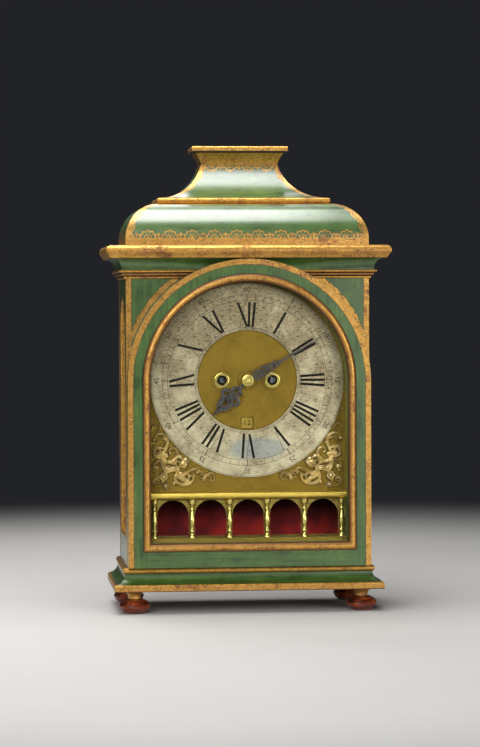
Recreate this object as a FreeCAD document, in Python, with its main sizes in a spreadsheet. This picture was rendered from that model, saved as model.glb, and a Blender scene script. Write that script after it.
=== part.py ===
import FreeCAD, Part
import math
import os
import Sketcher

# Baroque bracket clock: a green and gilt case with a flat back, an arched glazed door,
# a brass dial over a small arcaded stage, and a two-train spring movement with a short pendulum.
# Millimetres. Z is up, the dial faces -Y, and the origin is under the middle of the clock.

DIMENSIONS = {
    # Case and plinth
    "case_width": 242.0, "case_depth": 124.0,
    "front_thickness": 12.0, "side_thickness": 10.0, "rear_thickness": 12.0,
    "foot_height": 22.5, "foot_radius": 15.5, "foot_pad_radius": 8.0, "foot_neck_radius": 6.5,
    "foot_flange_radius": 12.0, "bun_height": 14.5, "foot_inset": 20.5,
    "fillet_height": 7.0, "fillet_overhang": 13.0,
    "plinth_cove_height": 10.0, "plinth_cove_foot": 11.0, "plinth_cove_head": 2.5,
    "torus_height": 6.5, "torus_overhang": 4.5,
    # Cornice
    "reed_height": 9.0, "reed_overhang": 7.0, "reed_step": 2.5,
    "crown_cove_height": 11.0, "crown_cove_foot": 4.5, "crown_cove_head": 11.0,
    "corona_height": 13.0, "corona_foot": 15.5, "corona_overhang": 20.0, "corona_head": 15.0,
    "corona_nose_height": 6.5, "arch_gap": 0.5,
    # Bell top
    "cushion_band": 6.5, "cushion_radius": 36.0,
    "bell_fillet_height": 6.0, "bell_fillet_overhang": 2.0,
    "bell_cove_height": 36.0, "bell_cove_run": 46.0,
    "cap_cove_height": 12.0, "cap_cove_flare": 7.0, "cap_cove_sweep": 30.0,
    "cap_height": 5.5, "cap_overhang": 3.0,
    # Front door
    "door_inset": 0.5, "door_lift": 0.4, "door_gap": 0.3, "door_thickness": 15.0,
    "door_frame_width": 18.5, "bead_lap": 4.0, "aperture_rise": 24.0,
    "bead_width": 8.0, "bead_height": 4.0, "bead_web": 7.3,
    "glass_thickness": 2.5, "glass_clearance": 0.3, "glazing_thickness": 2.5,
    # Hinges
    "hinge_length": 36.0, "knuckle_radius": 1.5, "hinge_pin_radius": 0.8, "pin_fit": 0.05,
    "leaf_thickness": 0.8, "leaf_width": 13.0, "knuckle_clearance": 0.9, "knuckle_gap": 0.3,
    "front_hinge_low": 26.0, "front_hinge_drop": 18.0,
    # Side windows
    "window_margin": 4.0, "window_rise": 30.0, "window_head": 17.0, "window_bead": 4.0,
    "window_bead_depth": 5.5, "window_glass": 2.0,
    # Rear door
    "rear_stile": 29.0, "rear_opening_rise": 12.0, "rear_head": 13.0,
    "rear_door_thickness": 10.0, "rear_recess": 3.0, "rear_door_gap": 0.8, "rear_member": 22.0,
    "rear_hinge_inset": 30.0, "knob_radius": 4.0, "knob_height": 2.8,
    # Dial
    "mask_clearance": 0.5, "dial_margin": 2.0, "dial_thickness": 2.0,
    "ring_margin": 1.5, "ring_inner": 50.0, "ring_thickness": 2.2,
    "winding_spread": 25.25, "winding_hole": 5.0, "collet_radius": 8.0, "collet_height": 1.2,
    "date_drop": 42.5, "date_width": 11.5, "date_height": 11.0,
    "date_ring_outer": 50.0, "date_ring_inner": 35.0, "date_ring_thickness": 1.2, "date_ring_gap": 0.4,
    "spandrel_thickness": 1.8, "spandrel_side": 2.5, "spandrel_end": 44.0, "spandrel_tip": 33.0,
    "spandrel_foot": 5.0, "boss_height": 1.6, "boss_radius": 6.5, "boss_in": 11.5, "boss_up": 14.0,
    "small_boss_radius": 4.5, "high_boss_in": 7.5, "high_boss_down": 22.0,
    "low_boss_in": 27.0, "low_boss_up": 9.0,
    # Hands
    "hour_length": 50.0, "minute_margin": 16.5, "hand_thickness": 1.0, "hour_lift": 2.2,
    "hand_gap": 1.4, "nut_radius": 5.8, "nut_height": 2.4, "hour_angle": 225.0, "minute_angle": 60.3,
    # Gallery under the dial
    "ledge_gap": 14.5, "ledge_height": 7.0, "ledge_setback": 1.5, "sill_height": 4.0,
    "arcade_thickness": 1.5, "arcade_setback": 8.0, "arcade_margin": 4.6, "pier_width": 6.0,
    "arch_leg": 19.9, "gallery_clearance": 0.4, "baluster_radius": 3.4, "baluster_setback": 4.4,
    "stage_depth": 34.0, "stage_wall": 2.0,
    # Movement frame
    "motion_space": 18.0, "plate_thickness": 2.5, "rear_space": 28.0, "plate_margin": 15.0,
    "plate_below": 40.0, "plate_above": 62.0, "pillar_radius": 3.5, "pillar_inset": 5.0,
    "seat_thickness": 8.0, "seat_front": 26.0, "seat_back": 88.0, "cleat_height": 10.0, "cleat_width": 8.0,
    "pivot_radius": 0.6, "pivot_fit": 0.05, "arbor_radius": 1.6, "thin_arbor_radius": 0.85,
    # Going and striking trains
    "great_module": 0.789, "centre_module": 0.6, "third_module": 0.55, "cannon_module": 0.75,
    "hour_module": 0.72, "drum_radius": 19.5, "drum_start": 2.0, "drum_length": 26.0,
    "great_thickness": 3.0, "wheel_thickness": 2.0, "pinion_length": 4.0,
    "centre_plane": 31.0, "third_plane": 38.0, "escape_plane": 20.0,
    "third_across": 8.37, "pallet_rise": 53.05, "escape_radius": 13.0, "escape_tooth": 1.8,
    "winding_arbor_radius": 3.2, "winding_square": 4.2, "winding_fit": 0.08,
    "pin_across": 33.05, "fly_across": 27.0, "fly_radius": 11.0, "fly_start": 8.0, "fly_length": 9.0,
    "fly_thickness": 0.8, "pin_circle": 14.7, "striking_pin_radius": 0.8, "striking_pin_length": 3.0,
    # Pendulum, hammer and bell
    "bob_rise": 38.05, "rod_radius": 1.2, "bob_radius": 17.0, "bob_thickness": 10.0,
    "pendulum_setback": 9.0, "cock_reach": 15.0, "cock_thickness": 3.0,
    "bell_across": 16.0, "bell_spread": 1.0, "bell_height": 22.0, "bell_wall": 1.8, "bell_rise": 69.0,
    "strap_width": 8.0, "strap_thickness": 2.5, "hammer_set": 2.4, "hammer_rise": 46.0,
    "hammer_head_radius": 3.2, "hammer_head_length": 9.0, "hammer_clearance": 0.6,
}

# Tooth and leaf counts of the trains
GREAT_TEETH = 56
CENTRE_LEAVES = 8
CENTRE_TEETH = 60
THIRD_LEAVES = 6
THIRD_TEETH = 60
ESCAPE_LEAVES = 6
ESCAPE_TEETH = 40
CANNON_LEAVES = 12
MINUTE_TEETH = 36
MINUTE_LEAVES = 10
HOUR_TEETH = 40
PIN_LEAVES = 8
PIN_TEETH = 60
FLY_LEAVES = 6
STRIKING_PINS = 8

# The movement is drawn for this chapter ring and this room between the plates, and made to suit others
DRAWN_RING = 96.5
DRAWN_GAP = 46.0
WITH_THE_RING = (
    "ring_inner", "winding_spread", "winding_hole", "collet_radius", "date_drop", "date_width", "date_height",
    "date_ring_outer", "date_ring_inner", "spandrel_end", "spandrel_tip", "hour_length", "nut_radius",
    "plate_below", "plate_above", "pillar_radius", "pillar_inset", "pivot_radius", "arbor_radius",
    "thin_arbor_radius", "great_module", "centre_module", "third_module", "cannon_module", "hour_module",
    "drum_radius", "third_across", "pallet_rise", "escape_radius", "escape_tooth", "winding_arbor_radius",
    "winding_square", "pin_across", "fly_across", "fly_radius", "pin_circle", "striking_pin_radius",
    "bob_radius", "bell_across", "bell_height", "bell_rise", "hammer_rise",
)
WITH_THE_GAP = (
    "drum_start", "drum_length", "great_thickness", "wheel_thickness", "pinion_length", "centre_plane",
    "third_plane", "escape_plane", "fly_start", "fly_length", "striking_pin_length",
)

doc = FreeCAD.newDocument("baroque_clock")
sheet = doc.addObject("Spreadsheet::Sheet", "dims")
for row, (alias, number) in enumerate(DIMENSIONS.items(), start=1):
    sheet.set("A%d" % row, str(number))
    sheet.setAlias("A%d" % row, alias)
doc.recompute()


class Size:
    """A length that keeps its number and the sheet expression that gives it."""

    def __init__(self, value, text):
        self.value = value
        self.text = text

    def __add__(self, other):
        other = size(other)
        return Size(self.value + other.value, "(%s + %s)" % (self.text, other.text))

    def __sub__(self, other):
        other = size(other)
        return Size(self.value - other.value, "(%s - %s)" % (self.text, other.text))

    def __mul__(self, other):
        other = size(other)
        return Size(self.value * other.value, "(%s * %s)" % (self.text, other.text))

    def __truediv__(self, other):
        other = size(other)
        return Size(self.value / other.value, "(%s / %s)" % (self.text, other.text))

    def __neg__(self):
        return Size(-self.value, "(0 - %s)" % self.text)

    def __radd__(self, other):
        return size(other) + self

    def __rsub__(self, other):
        return size(other) - self

    def __rmul__(self, other):
        return size(other) * self


def size(number):
    """Plain numbers become sizes that no cell drives."""
    return number if isinstance(number, Size) else Size(number, repr(number))


def root(length):
    return Size(math.sqrt(length.value), "sqrt(%s)" % length.text)


class Dimensions:
    """The sheet's cells by name."""


d = Dimensions()
for alias in DIMENSIONS:
    setattr(d, alias, Size(float(sheet.get(alias)), "dims." + alias))

# Planes, from front to back
case_front = (d.corona_overhang - d.case_depth) / 2
case_back = case_front + d.case_depth
half_width = d.case_width / 2
door_back = case_front - d.door_gap
door_front = door_back - d.door_thickness
dial_front = case_front + d.front_thickness
dial_back = dial_front + d.dial_thickness
front_plate = dial_back + d.motion_space
train_start = front_plate + d.plate_thickness
rear_inside = case_back - d.rear_thickness
rear_face = case_back - d.rear_recess
frame_back = rear_face - d.rear_door_thickness - d.rear_space
back_plate = frame_back - d.plate_thickness
plate_gap = back_plate - train_start
ring_front = dial_front - d.ring_thickness

# Radii about the dial's centre
door_radius = half_width - d.door_inset
door_opening = door_radius - d.door_frame_width
aperture_radius = door_opening - d.bead_lap
mask_radius = aperture_radius + d.mask_clearance
ring_radius = aperture_radius - d.ring_margin
minute_length = ring_radius - d.minute_margin
ledge_drop = ring_radius + d.ledge_gap

for alias in WITH_THE_RING:
    setattr(d, alias, getattr(d, alias) * ring_radius / DRAWN_RING)
for alias in WITH_THE_GAP:
    setattr(d, alias, getattr(d, alias) * plate_gap / DRAWN_GAP)

# The gallery's five arches share the width of the dial opening
gallery_reach = mask_radius - d.gallery_clearance
arch_pitch = (gallery_reach - d.arcade_margin) * 2 / 5
arch_radius = (arch_pitch - d.pier_width) / 2
arcade_height = d.sill_height / 2 + d.arch_leg + arch_radius + d.gallery_clearance

# Levels, from the floor up
plinth_floor = d.foot_height
cove_floor = plinth_floor + d.fillet_height
torus_floor = cove_floor + d.plinth_cove_height
plinth_top = torus_floor + d.torus_height
aperture_floor = plinth_top + d.aperture_rise
sill_top = aperture_floor + d.sill_height
ledge_floor = sill_top + arcade_height
ledge_top = ledge_floor + d.ledge_height
dial_level = ledge_top + ledge_drop
corona_floor = dial_level + door_radius + d.arch_gap
crown_cove_floor = corona_floor - d.crown_cove_height
case_top = crown_cove_floor - d.reed_height
cushion_floor = corona_floor + d.corona_height
bell_fillet_floor = cushion_floor + d.cushion_band + d.cushion_radius
bell_cove_floor = bell_fillet_floor + d.bell_fillet_height
cap_cove_floor = bell_cove_floor + d.bell_cove_height
cap_floor = cap_cove_floor + d.cap_cove_height

# Bell and hammer, beside the plates they are carried by
bell_radius = plate_gap / 2 + d.bell_spread
hammer_across = d.bell_across + bell_radius + d.hammer_clearance + d.hammer_set
plate_half_width = hammer_across + d.plate_margin

AXES = {
    "X": FreeCAD.Rotation(FreeCAD.Vector(0, 1, 0), 90),
    "Y": FreeCAD.Rotation(FreeCAD.Vector(1, 0, 0), -90),
    "Z": FreeCAD.Rotation(),
}
nodes = []


def node(label, item):
    """Name a finished sub-part."""
    item.Label = label
    nodes.append(item)
    return item


def bind(item, **sizes):
    for name, length in sizes.items():
        item.setExpression(name, size(length).text)


def locate(item, x=0, y=0, z=0):
    for axis, place in (("x", x), ("y", y), ("z", z)):
        item.setExpression(".Placement.Base." + axis, size(place).text)


def block(name, x, y, z):
    """A box between two places along each axis."""
    item = doc.addObject("Part::Box", name)
    bind(item, Length=x[1] - x[0], Width=y[1] - y[0], Height=z[1] - z[0])
    locate(item, x[0], y[0], z[0])
    return item


def rod(name, axis, x, y, z, radius, length):
    item = doc.addObject("Part::Cylinder", name)
    item.Placement = FreeCAD.Placement(FreeCAD.Vector(), AXES[axis])
    bind(item, Radius=radius, Height=length)
    locate(item, x, y, z)
    return item


def cut(name, base, *tools):
    """Take tools away from a base."""
    item = doc.addObject("Part::Cut", name)
    item.Base = base
    item.Tool = tools[0] if len(tools) == 1 else group(name + "_tools", *tools)
    return item


def fuse(name, *pieces):
    item = doc.addObject("Part::MultiFuse", name)
    item.Shapes = list(pieces)
    item.Refine = True
    return item


def common(name, *pieces):
    item = doc.addObject("Part::MultiCommon", name)
    item.Shapes = list(pieces)
    return item


def group(name, *pieces):
    """Separate solids kept as one sub-part."""
    item = doc.addObject("Part::Compound", name)
    item.Links = list(pieces)
    return item


def mirrored(name, source):
    """The same piece on the other side of the clock."""
    item = doc.addObject("Part::Mirroring", name)
    item.Source = source
    item.Normal = (1, 0, 0)
    return item


def pair(name, source):
    return group(name, source, mirrored(name + "_other", source))


def fix(sketch, kind, axis, curve, end, length):
    """Hold one coordinate of a sketch point to its size."""
    if size(length).value == 0:
        sketch.addConstraint(Sketcher.Constraint("PointOnObject", curve, end, axis))
        return
    made = sketch.addConstraint(Sketcher.Constraint(kind, -1, 1, curve, end, size(length).value))
    sketch.setExpression("Constraints[%d]" % made, size(length).text)


def draw_circle(sketch, x, y, radius):
    centre = FreeCAD.Vector(size(x).value, size(y).value, 0)
    circle = Part.Circle(centre, FreeCAD.Vector(0, 0, 1), size(radius).value)
    curve = sketch.addGeometry(circle)
    fix(sketch, "DistanceX", -2, curve, 3, x)
    fix(sketch, "DistanceY", -1, curve, 3, y)
    made = sketch.addConstraint(Sketcher.Constraint("Radius", curve, size(radius).value))
    sketch.setExpression("Constraints[%d]" % made, size(radius).text)


def draw_loop(sketch, points):
    """A closed outline. A point with a radius and a turn is reached by an arc."""
    count = len(points)
    ends = []
    for index, point in enumerate(points):
        start = points[index - 1]
        a = FreeCAD.Vector(size(start[0]).value, size(start[1]).value, 0)
        b = FreeCAD.Vector(size(point[0]).value, size(point[1]).value, 0)
        if len(point) == 2:
            curve = sketch.addGeometry(Part.LineSegment(a, b))
            ends.append((curve, 1, 2))
            continue
        radius, turn = size(point[2]), point[3]
        chord = b - a
        rise = math.sqrt(max(radius.value ** 2 - chord.Length ** 2 / 4, 0.0)) * turn / chord.Length
        centre = (a + b) / 2 + FreeCAD.Vector(-chord.y, chord.x, 0) * rise
        first, last = (a, b) if turn > 0 else (b, a)
        angles = [math.atan2(p.y - centre.y, p.x - centre.x) for p in (first, last)]
        circle = Part.Circle(centre, FreeCAD.Vector(0, 0, 1), radius.value)
        curve = sketch.addGeometry(Part.ArcOfCircle(circle, angles[0], angles[1]))
        ends.append((curve, 1, 2) if turn > 0 else (curve, 2, 1))
    for index in range(count):
        curve, _, last = ends[index]
        following, first, _ = ends[(index + 1) % count]
        sketch.addConstraint(Sketcher.Constraint("Coincident", curve, last, following, first))
    for index, point in enumerate(points):
        curve, _, last = ends[index]
        fix(sketch, "DistanceX", -2, curve, last, point[0])
        fix(sketch, "DistanceY", -1, curve, last, point[1])
        if len(point) == 4:
            made = sketch.addConstraint(Sketcher.Constraint("Radius", curve, size(point[2]).value))
            sketch.setExpression("Constraints[%d]" % made, size(point[2]).text)


def new_sketch(body, plane, name):
    sketch = body.newObject("Sketcher::SketchObject", name)
    support = [face for face in body.Origin.OriginFeatures if face.Role == plane + "_Plane"][0]
    sketch.AttachmentSupport = [(support, "")]
    sketch.MapMode = "FlatFace"
    return sketch


def padded(name, plane, loops, length, x=0, y=0, z=0, circles=()):
    """A flat piece padded away from its plane, towards +X, +Y or +Z."""
    body = doc.addObject("PartDesign::Body", name)
    sketch = new_sketch(body, plane, name + "_outline")
    for loop in loops:
        draw_loop(sketch, loop)
    for circle in circles:
        draw_circle(sketch, *circle)
    pad = body.newObject("PartDesign::Pad", name + "_pad")
    pad.Profile = sketch
    pad.Reversed = plane == "XZ"
    bind(pad, Length=length)
    locate(body, x, y, z)
    return body


def turned(name, plane, loop, x=0, y=0, z=0):
    """A piece turned on a lathe about Z (XZ plane) or Y (XY plane): points are radius and height."""
    body = doc.addObject("PartDesign::Body", name)
    sketch = new_sketch(body, plane, name + "_profile")
    draw_loop(sketch, loop)
    turn = body.newObject("PartDesign::Revolution", name + "_turn")
    turn.Profile = sketch
    turn.ReferenceAxis = (sketch, ["V_Axis"])
    turn.Angle = 360
    locate(body, x, y, z)
    return body


def swept(name, plane, path, section_plane, section, x=0, y=0, z=0):
    """A moulding swept round a closed path with mitred corners."""
    body = doc.addObject("PartDesign::Body", name)
    route = new_sketch(body, plane, name + "_path")
    draw_loop(route, path)
    profile = new_sketch(body, section_plane, name + "_section")
    draw_loop(profile, section)
    doc.recompute()
    pipe = body.newObject("PartDesign::AdditivePipe", name + "_sweep")
    pipe.Profile = profile
    pipe.Spine = (route, ["Edge%d" % (edge + 1) for edge in range(len(path))])
    pipe.Transition = "Right corner"
    locate(body, x, y, z)
    return body


def arch(half, floor, spring, middle=0):
    """An arched outline with a half-round head."""
    return [
        (middle - half, floor),
        (middle + half, floor),
        (middle + half, spring),
        (middle, spring + half, half, 1),
        (middle - half, spring, half, 1),
    ]


def arch_path(half, floor, spring):
    """The same outline as a path that starts in the middle of its floor."""
    return [
        (half, floor),
        (half, spring),
        (0, spring + half, half, 1),
        (-half, spring, half, 1),
        (-half, floor),
        (0, floor),
    ]


def walked_back(steps):
    """The same edge from its top down, each arc kept."""
    back = [steps[-1][:2]]
    for index in range(len(steps) - 1, 0, -1):
        back.append(steps[index - 1][:2] + steps[index][2:])
    return back


def board(name, profile):
    """A moulded board across the clock, mitred at the front corners, with a flat back.

    The profile lists the overhang past the case and the level, from the bottom up.
    """
    right = [(half_width + step[0],) + step[1:] for step in profile]
    left = [(-half_width - step[0],) + step[1:] for step in profile]
    wide = padded(name + "_wide", "XZ", [right + walked_back(left)],
                  d.case_depth + d.corona_overhang * 2, y=case_front - d.corona_overhang)
    front = [(case_front - step[0],) + step[1:] for step in profile]
    back = [(case_back, profile[0][1]), (case_back, profile[-1][1])]
    deep = padded(name + "_deep", "YZ", [back + walked_back(front)],
                  d.case_width + d.corona_overhang * 2, x=-(half_width + d.corona_overhang))
    return common(name, wide, deep)


def clear_arch(name, base):
    """Notch a cornice board round the arched head of the door."""
    notch = rod(name + "_notch", "Y", 0, case_front - d.corona_overhang, dial_level,
                door_radius + d.arch_gap, d.corona_overhang)
    return cut(name, base, notch)


def make_plinth():
    profile = [
        (0, 0),
        (d.foot_pad_radius, 0),
        (d.foot_radius, d.bun_height / 2, d.bun_height * 0.7, 1),
        (d.foot_neck_radius, d.bun_height, d.bun_height * 0.8, 1),
        (d.foot_neck_radius, d.bun_height + (d.foot_height - d.bun_height) * 0.3),
        (d.foot_flange_radius, d.foot_height, d.foot_height - d.bun_height, -1),
        (0, d.foot_height),
    ]
    across = half_width + d.fillet_overhang - d.foot_inset
    front = case_front - d.fillet_overhang + d.foot_inset
    feet = []
    for name, y in (("front_foot", front), ("rear_foot", case_back - d.foot_inset)):
        foot = turned(name, "XZ", profile, x=across, y=y)
        feet += [foot, mirrored(name + "_other", foot)]
    node("bun_feet", group("bun_feet", *feet))
    edge = d.fillet_height * 0.3
    node("plinth_board", board("plinth_board", [
        (d.fillet_overhang, plinth_floor),
        (d.fillet_overhang, cove_floor - edge),
        (d.fillet_overhang - edge, cove_floor, edge, 1),
    ]))
    node("plinth_cove", board("plinth_cove", [
        (d.plinth_cove_foot, cove_floor),
        (d.plinth_cove_head, torus_floor, d.plinth_cove_height, -1),
    ]))
    bulge = d.torus_height / 2
    node("plinth_torus", board("plinth_torus", [
        (d.torus_overhang - bulge, torus_floor),
        (d.torus_overhang, torus_floor + bulge, bulge, 1),
        (d.torus_overhang - bulge, plinth_top, bulge, 1),
    ]))


def make_cornice():
    reed = d.reed_height / 3
    bulge = reed / 2
    outline = []
    for index in range(3):
        floor = case_top + reed * index
        reach = d.reed_overhang - d.reed_step * (2 - index)
        outline += [
            (reach - bulge, floor),
            (reach, floor + bulge, bulge, 1),
            (reach - bulge, floor + reed, bulge, 1),
        ]
    reeds = board("reed_block", outline)
    node("cornice_reeds", clear_arch("cornice_reeds", reeds))
    cove = board("crown_cove_block", [
        (d.crown_cove_foot, crown_cove_floor),
        (d.crown_cove_head, corona_floor, d.crown_cove_height, -1),
    ])
    node("cornice_cove", clear_arch("cornice_cove", cove))
    nose = d.corona_overhang - d.corona_head
    node("cornice_corona", board("cornice_corona", [
        (d.corona_foot, corona_floor),
        (d.corona_overhang, corona_floor + d.corona_nose_height),
        (d.corona_overhang, cushion_floor - nose),
        (d.corona_head, cushion_floor, nose, 1),
    ]))


def make_bell_top():
    inset = -d.cushion_radius
    node("bell_cushion", board("bell_cushion", [
        (0, cushion_floor),
        (0, cushion_floor + d.cushion_band),
        (inset, bell_fillet_floor, d.cushion_radius, 1),
    ]))
    bulge = d.bell_fillet_height / 2
    reach = inset + d.bell_fillet_overhang
    node("bell_fillet", board("bell_fillet", [
        (reach - bulge, bell_fillet_floor),
        (reach, bell_fillet_floor + bulge, bulge, 1),
        (reach - bulge, bell_cove_floor, bulge, 1),
    ]))
    squares = d.bell_cove_run * d.bell_cove_run + d.bell_cove_height * d.bell_cove_height
    sweep = squares / (d.bell_cove_height * 2)
    neck = inset - d.bell_cove_run
    node("bell_cove", board("bell_cove", [
        (inset, bell_cove_floor),
        (neck, cap_cove_floor, sweep, -1),
    ]))
    brim = neck + d.cap_cove_flare
    neck_moulding = board("cap_cove", [
        (neck, cap_cove_floor),
        (brim, cap_floor, d.cap_cove_sweep, -1),
    ])
    cap_top = cap_floor + d.cap_height
    edge = d.cap_height / 3
    lid = board("cap_board", [
        (brim + d.cap_overhang, cap_floor),
        (brim + d.cap_overhang, cap_top - edge),
        (brim + d.cap_overhang - edge, cap_top, edge, 1),
    ])
    node("bell_cap", group("bell_cap", neck_moulding, lid))


# Front hinges: small barrels at the right edge, where the door meets the case
hinge_x = door_radius
hinge_y = case_front - d.door_gap / 2
front_hinges = (plinth_top + d.front_hinge_low, dial_level - d.front_hinge_drop - d.hinge_length)
knuckle = d.hinge_length / 3
groove_radius = d.knuckle_radius + d.knuckle_clearance

# Rear hinges: the same barrels on the inset rear door
rear_floor = plinth_top + d.rear_opening_rise
rear_top = case_top - d.rear_head
rear_opening_half = half_width - d.rear_stile
rear_edge = rear_opening_half - d.rear_door_gap
rear_hinge_x = rear_opening_half - d.rear_door_gap / 2
rear_hinges = (rear_floor + d.rear_hinge_inset, rear_top - d.rear_hinge_inset - d.hinge_length)


def grooves(name, x, y, floors):
    """Room round the hinge barrels."""
    return [rod("%s_%d" % (name, index), "Z", x, y, floor, groove_radius, d.hinge_length)
            for index, floor in enumerate(floors)]


def barrel(name, x, y, floor, high):
    """A tube round the hinge pin."""
    tube = rod(name + "_tube", "Z", x, y, floor, d.knuckle_radius, high)
    bore = rod(name + "_bore", "Z", x, y, floor, d.hinge_pin_radius + d.pin_fit, high)
    return tube, bore


def hinge_leaf(name, x, y, floor, plate_x, plate_y, tab_x, tab_y, outer):
    """A leaf with two outer knuckles, or with the one between them."""
    plate = block(name + "_plate", plate_x, plate_y, (floor, floor + d.hinge_length))
    if outer:
        spans = [(floor, knuckle), (floor + knuckle * 2, knuckle)]
    else:
        spans = [(floor + knuckle + d.knuckle_gap, knuckle - d.knuckle_gap * 2)]
    solids = [plate]
    bores = []
    for index, (start, high) in enumerate(spans):
        part = "%s_%d" % (name, index)
        tube, bore = barrel(part, x, y, start, high)
        tab = block(part + "_tab", tab_x, tab_y, (start, start + high))
        solids += [tube, tab]
        bores.append(bore)
    return cut(name, fuse(name + "_solid", *solids), *bores)


def make_front_hinges():
    case_leaves = []
    door_leaves = []
    pins = []
    stop = hinge_x - groove_radius
    plate_x = (stop - d.leaf_width, stop)
    tab_x = (stop, hinge_x - d.knuckle_radius * 0.8)
    case_y = (case_front, case_front + d.leaf_thickness)
    door_y = (door_back - d.leaf_thickness, door_back)
    for index, floor in enumerate(front_hinges):
        case_leaves.append(hinge_leaf("front_case_leaf_%d" % index, hinge_x, hinge_y, floor,
                                      plate_x, case_y, tab_x, case_y, True))
        door_leaves.append(hinge_leaf("front_door_leaf_%d" % index, hinge_x, hinge_y, floor,
                                      plate_x, door_y, tab_x, door_y, False))
        pins.append(rod("front_pin_%d" % index, "Z", hinge_x, hinge_y, floor,
                        d.hinge_pin_radius, d.hinge_length))
    node("front_hinge_case_leaves", group("front_hinge_case_leaves", *case_leaves, *pins))
    node("front_hinge_door_leaves", group("front_hinge_door_leaves", *door_leaves))


def leaf_seats(name, y, floors):
    """Recesses for the front hinge leaves."""
    stop = hinge_x - groove_radius
    across = (stop - d.leaf_width, half_width)
    return [block("%s_%d" % (name, index), across, y, (floor, floor + d.hinge_length))
            for index, floor in enumerate(floors)]


def make_case():
    outside = [
        (-half_width, plinth_top), (half_width, plinth_top),
        (half_width, case_top), (-half_width, case_top),
    ]
    plain_front = padded("front_board", "XZ", [outside, arch(mask_radius, aperture_floor, dial_level)],
                         d.front_thickness, y=case_front)
    seats = leaf_seats("case_leaf_seat", (case_front, case_front + d.leaf_thickness), front_hinges)
    seats += grooves("case_groove", hinge_x, hinge_y, front_hinges)
    node("case_front", cut("case_front", plain_front, *seats))
    middle = case_front + d.case_depth / 2
    floor = plinth_top + d.window_rise
    window_radius = (rear_inside - dial_front) / 2 - d.window_bead - d.window_margin
    panel = [
        (dial_front, plinth_top), (rear_inside, plinth_top),
        (rear_inside, case_top), (dial_front, case_top),
    ]
    hole = window_radius + d.window_bead
    spring = case_top - d.window_head - hole
    opening = arch(hole, floor - d.window_bead, spring, middle)
    side = padded("side_board", "YZ", [panel, opening], d.side_thickness, x=half_width - d.side_thickness)
    node("case_sides", pair("case_sides", side))
    section = [
        (-d.window_bead_depth, floor - d.window_bead),
        (0, floor - d.window_bead),
        (0, floor - d.window_bead / 2),
        (-d.window_bead / 2, floor, d.window_bead / 2, 1),
        (-d.window_bead_depth, floor),
    ]
    bead = swept("window_bead_piece", "YZ", arch_path(window_radius, floor, spring), "XZ", section,
                 x=half_width, y=middle)
    node("side_window_beads", pair("side_window_beads", bead))
    inner = hole - d.glass_clearance
    pane_floor = floor - d.window_bead + d.glass_clearance
    pane = padded("window_pane", "YZ", [arch(inner, pane_floor, spring, middle)],
                  d.window_glass, x=half_width - d.window_bead_depth - d.window_glass)
    node("side_window_glass", pair("side_window_glass", pane))
    rear_frame = padded("rear_board", "XZ", [outside, [
        (-rear_opening_half, rear_floor), (rear_opening_half, rear_floor),
        (rear_opening_half, rear_top), (-rear_opening_half, rear_top),
    ]], d.rear_thickness, y=rear_inside)
    jamb = (rear_opening_half, rear_opening_half + d.leaf_thickness)
    seats = [block("rear_seat_%d" % index, jamb, (rear_inside, rear_face), (low, low + d.hinge_length))
             for index, low in enumerate(rear_hinges)]
    seats += grooves("rear_groove", rear_hinge_x, rear_face, rear_hinges)
    node("case_rear_frame", cut("case_rear_frame", rear_frame, *seats))


def make_front_door():
    floor = plinth_top + d.door_lift
    rail_top = aperture_floor - (door_opening - aperture_radius)
    head = [
        (door_radius, dial_level),
        (0, dial_level + door_radius, door_radius, 1),
        (-door_radius, dial_level, door_radius, 1),
        (-door_opening, dial_level),
        (0, dial_level + door_opening, door_opening, -1),
        (door_opening, dial_level, door_opening, -1),
    ]
    node("door_arch_head", padded("door_arch_head", "XZ", [head], d.door_thickness, y=door_front))
    deep = (door_front, door_back)
    high = (floor, dial_level)
    right = block("right_stile_blank", (door_opening, door_radius), deep, high)
    seats = leaf_seats("door_leaf_seat", (door_back - d.leaf_thickness, door_back), front_hinges)
    seats += grooves("door_groove", hinge_x, hinge_y, front_hinges)
    left = block("left_stile", (-door_radius, -door_opening), deep, high)
    node("door_stiles", group("door_stiles", left, cut("right_stile", right, *seats)))
    rail = block("door_bottom_rail", (-door_opening, door_opening), deep, (floor, rail_top))
    node("door_bottom_rail", rail)
    # The gilt bead: a half-round flange over the frame and a web inside its opening
    web = door_opening - aperture_radius - d.glass_clearance
    low = aperture_floor
    half = d.bead_width / 2
    round_off = (d.bead_height * d.bead_height + half * half) / (d.bead_height * 2)
    section = [
        (d.bead_web, low),
        (d.bead_web, low - web),
        (0, low - web),
        (0, low - d.bead_width),
        (-d.bead_height, low - half, round_off, -1),
        (0, low, round_off, -1),
    ]
    path = arch_path(aperture_radius, low, dial_level)
    node("door_bead", swept("door_bead", "XZ", path, "YZ", section, y=door_front))
    pane = door_opening - d.glass_clearance
    pane_floor = rail_top + d.glass_clearance
    pane_front = door_front + d.bead_web
    node("door_glass", padded("door_glass", "XZ", [arch(pane, pane_floor, dial_level)],
                              d.glass_thickness, y=pane_front))
    node("door_glazing_strip", padded("door_glazing_strip", "XZ", [
        arch(pane, pane_floor, dial_level),
        arch(mask_radius, aperture_floor, dial_level),
    ], d.glazing_thickness, y=pane_front + d.glass_thickness))


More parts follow.
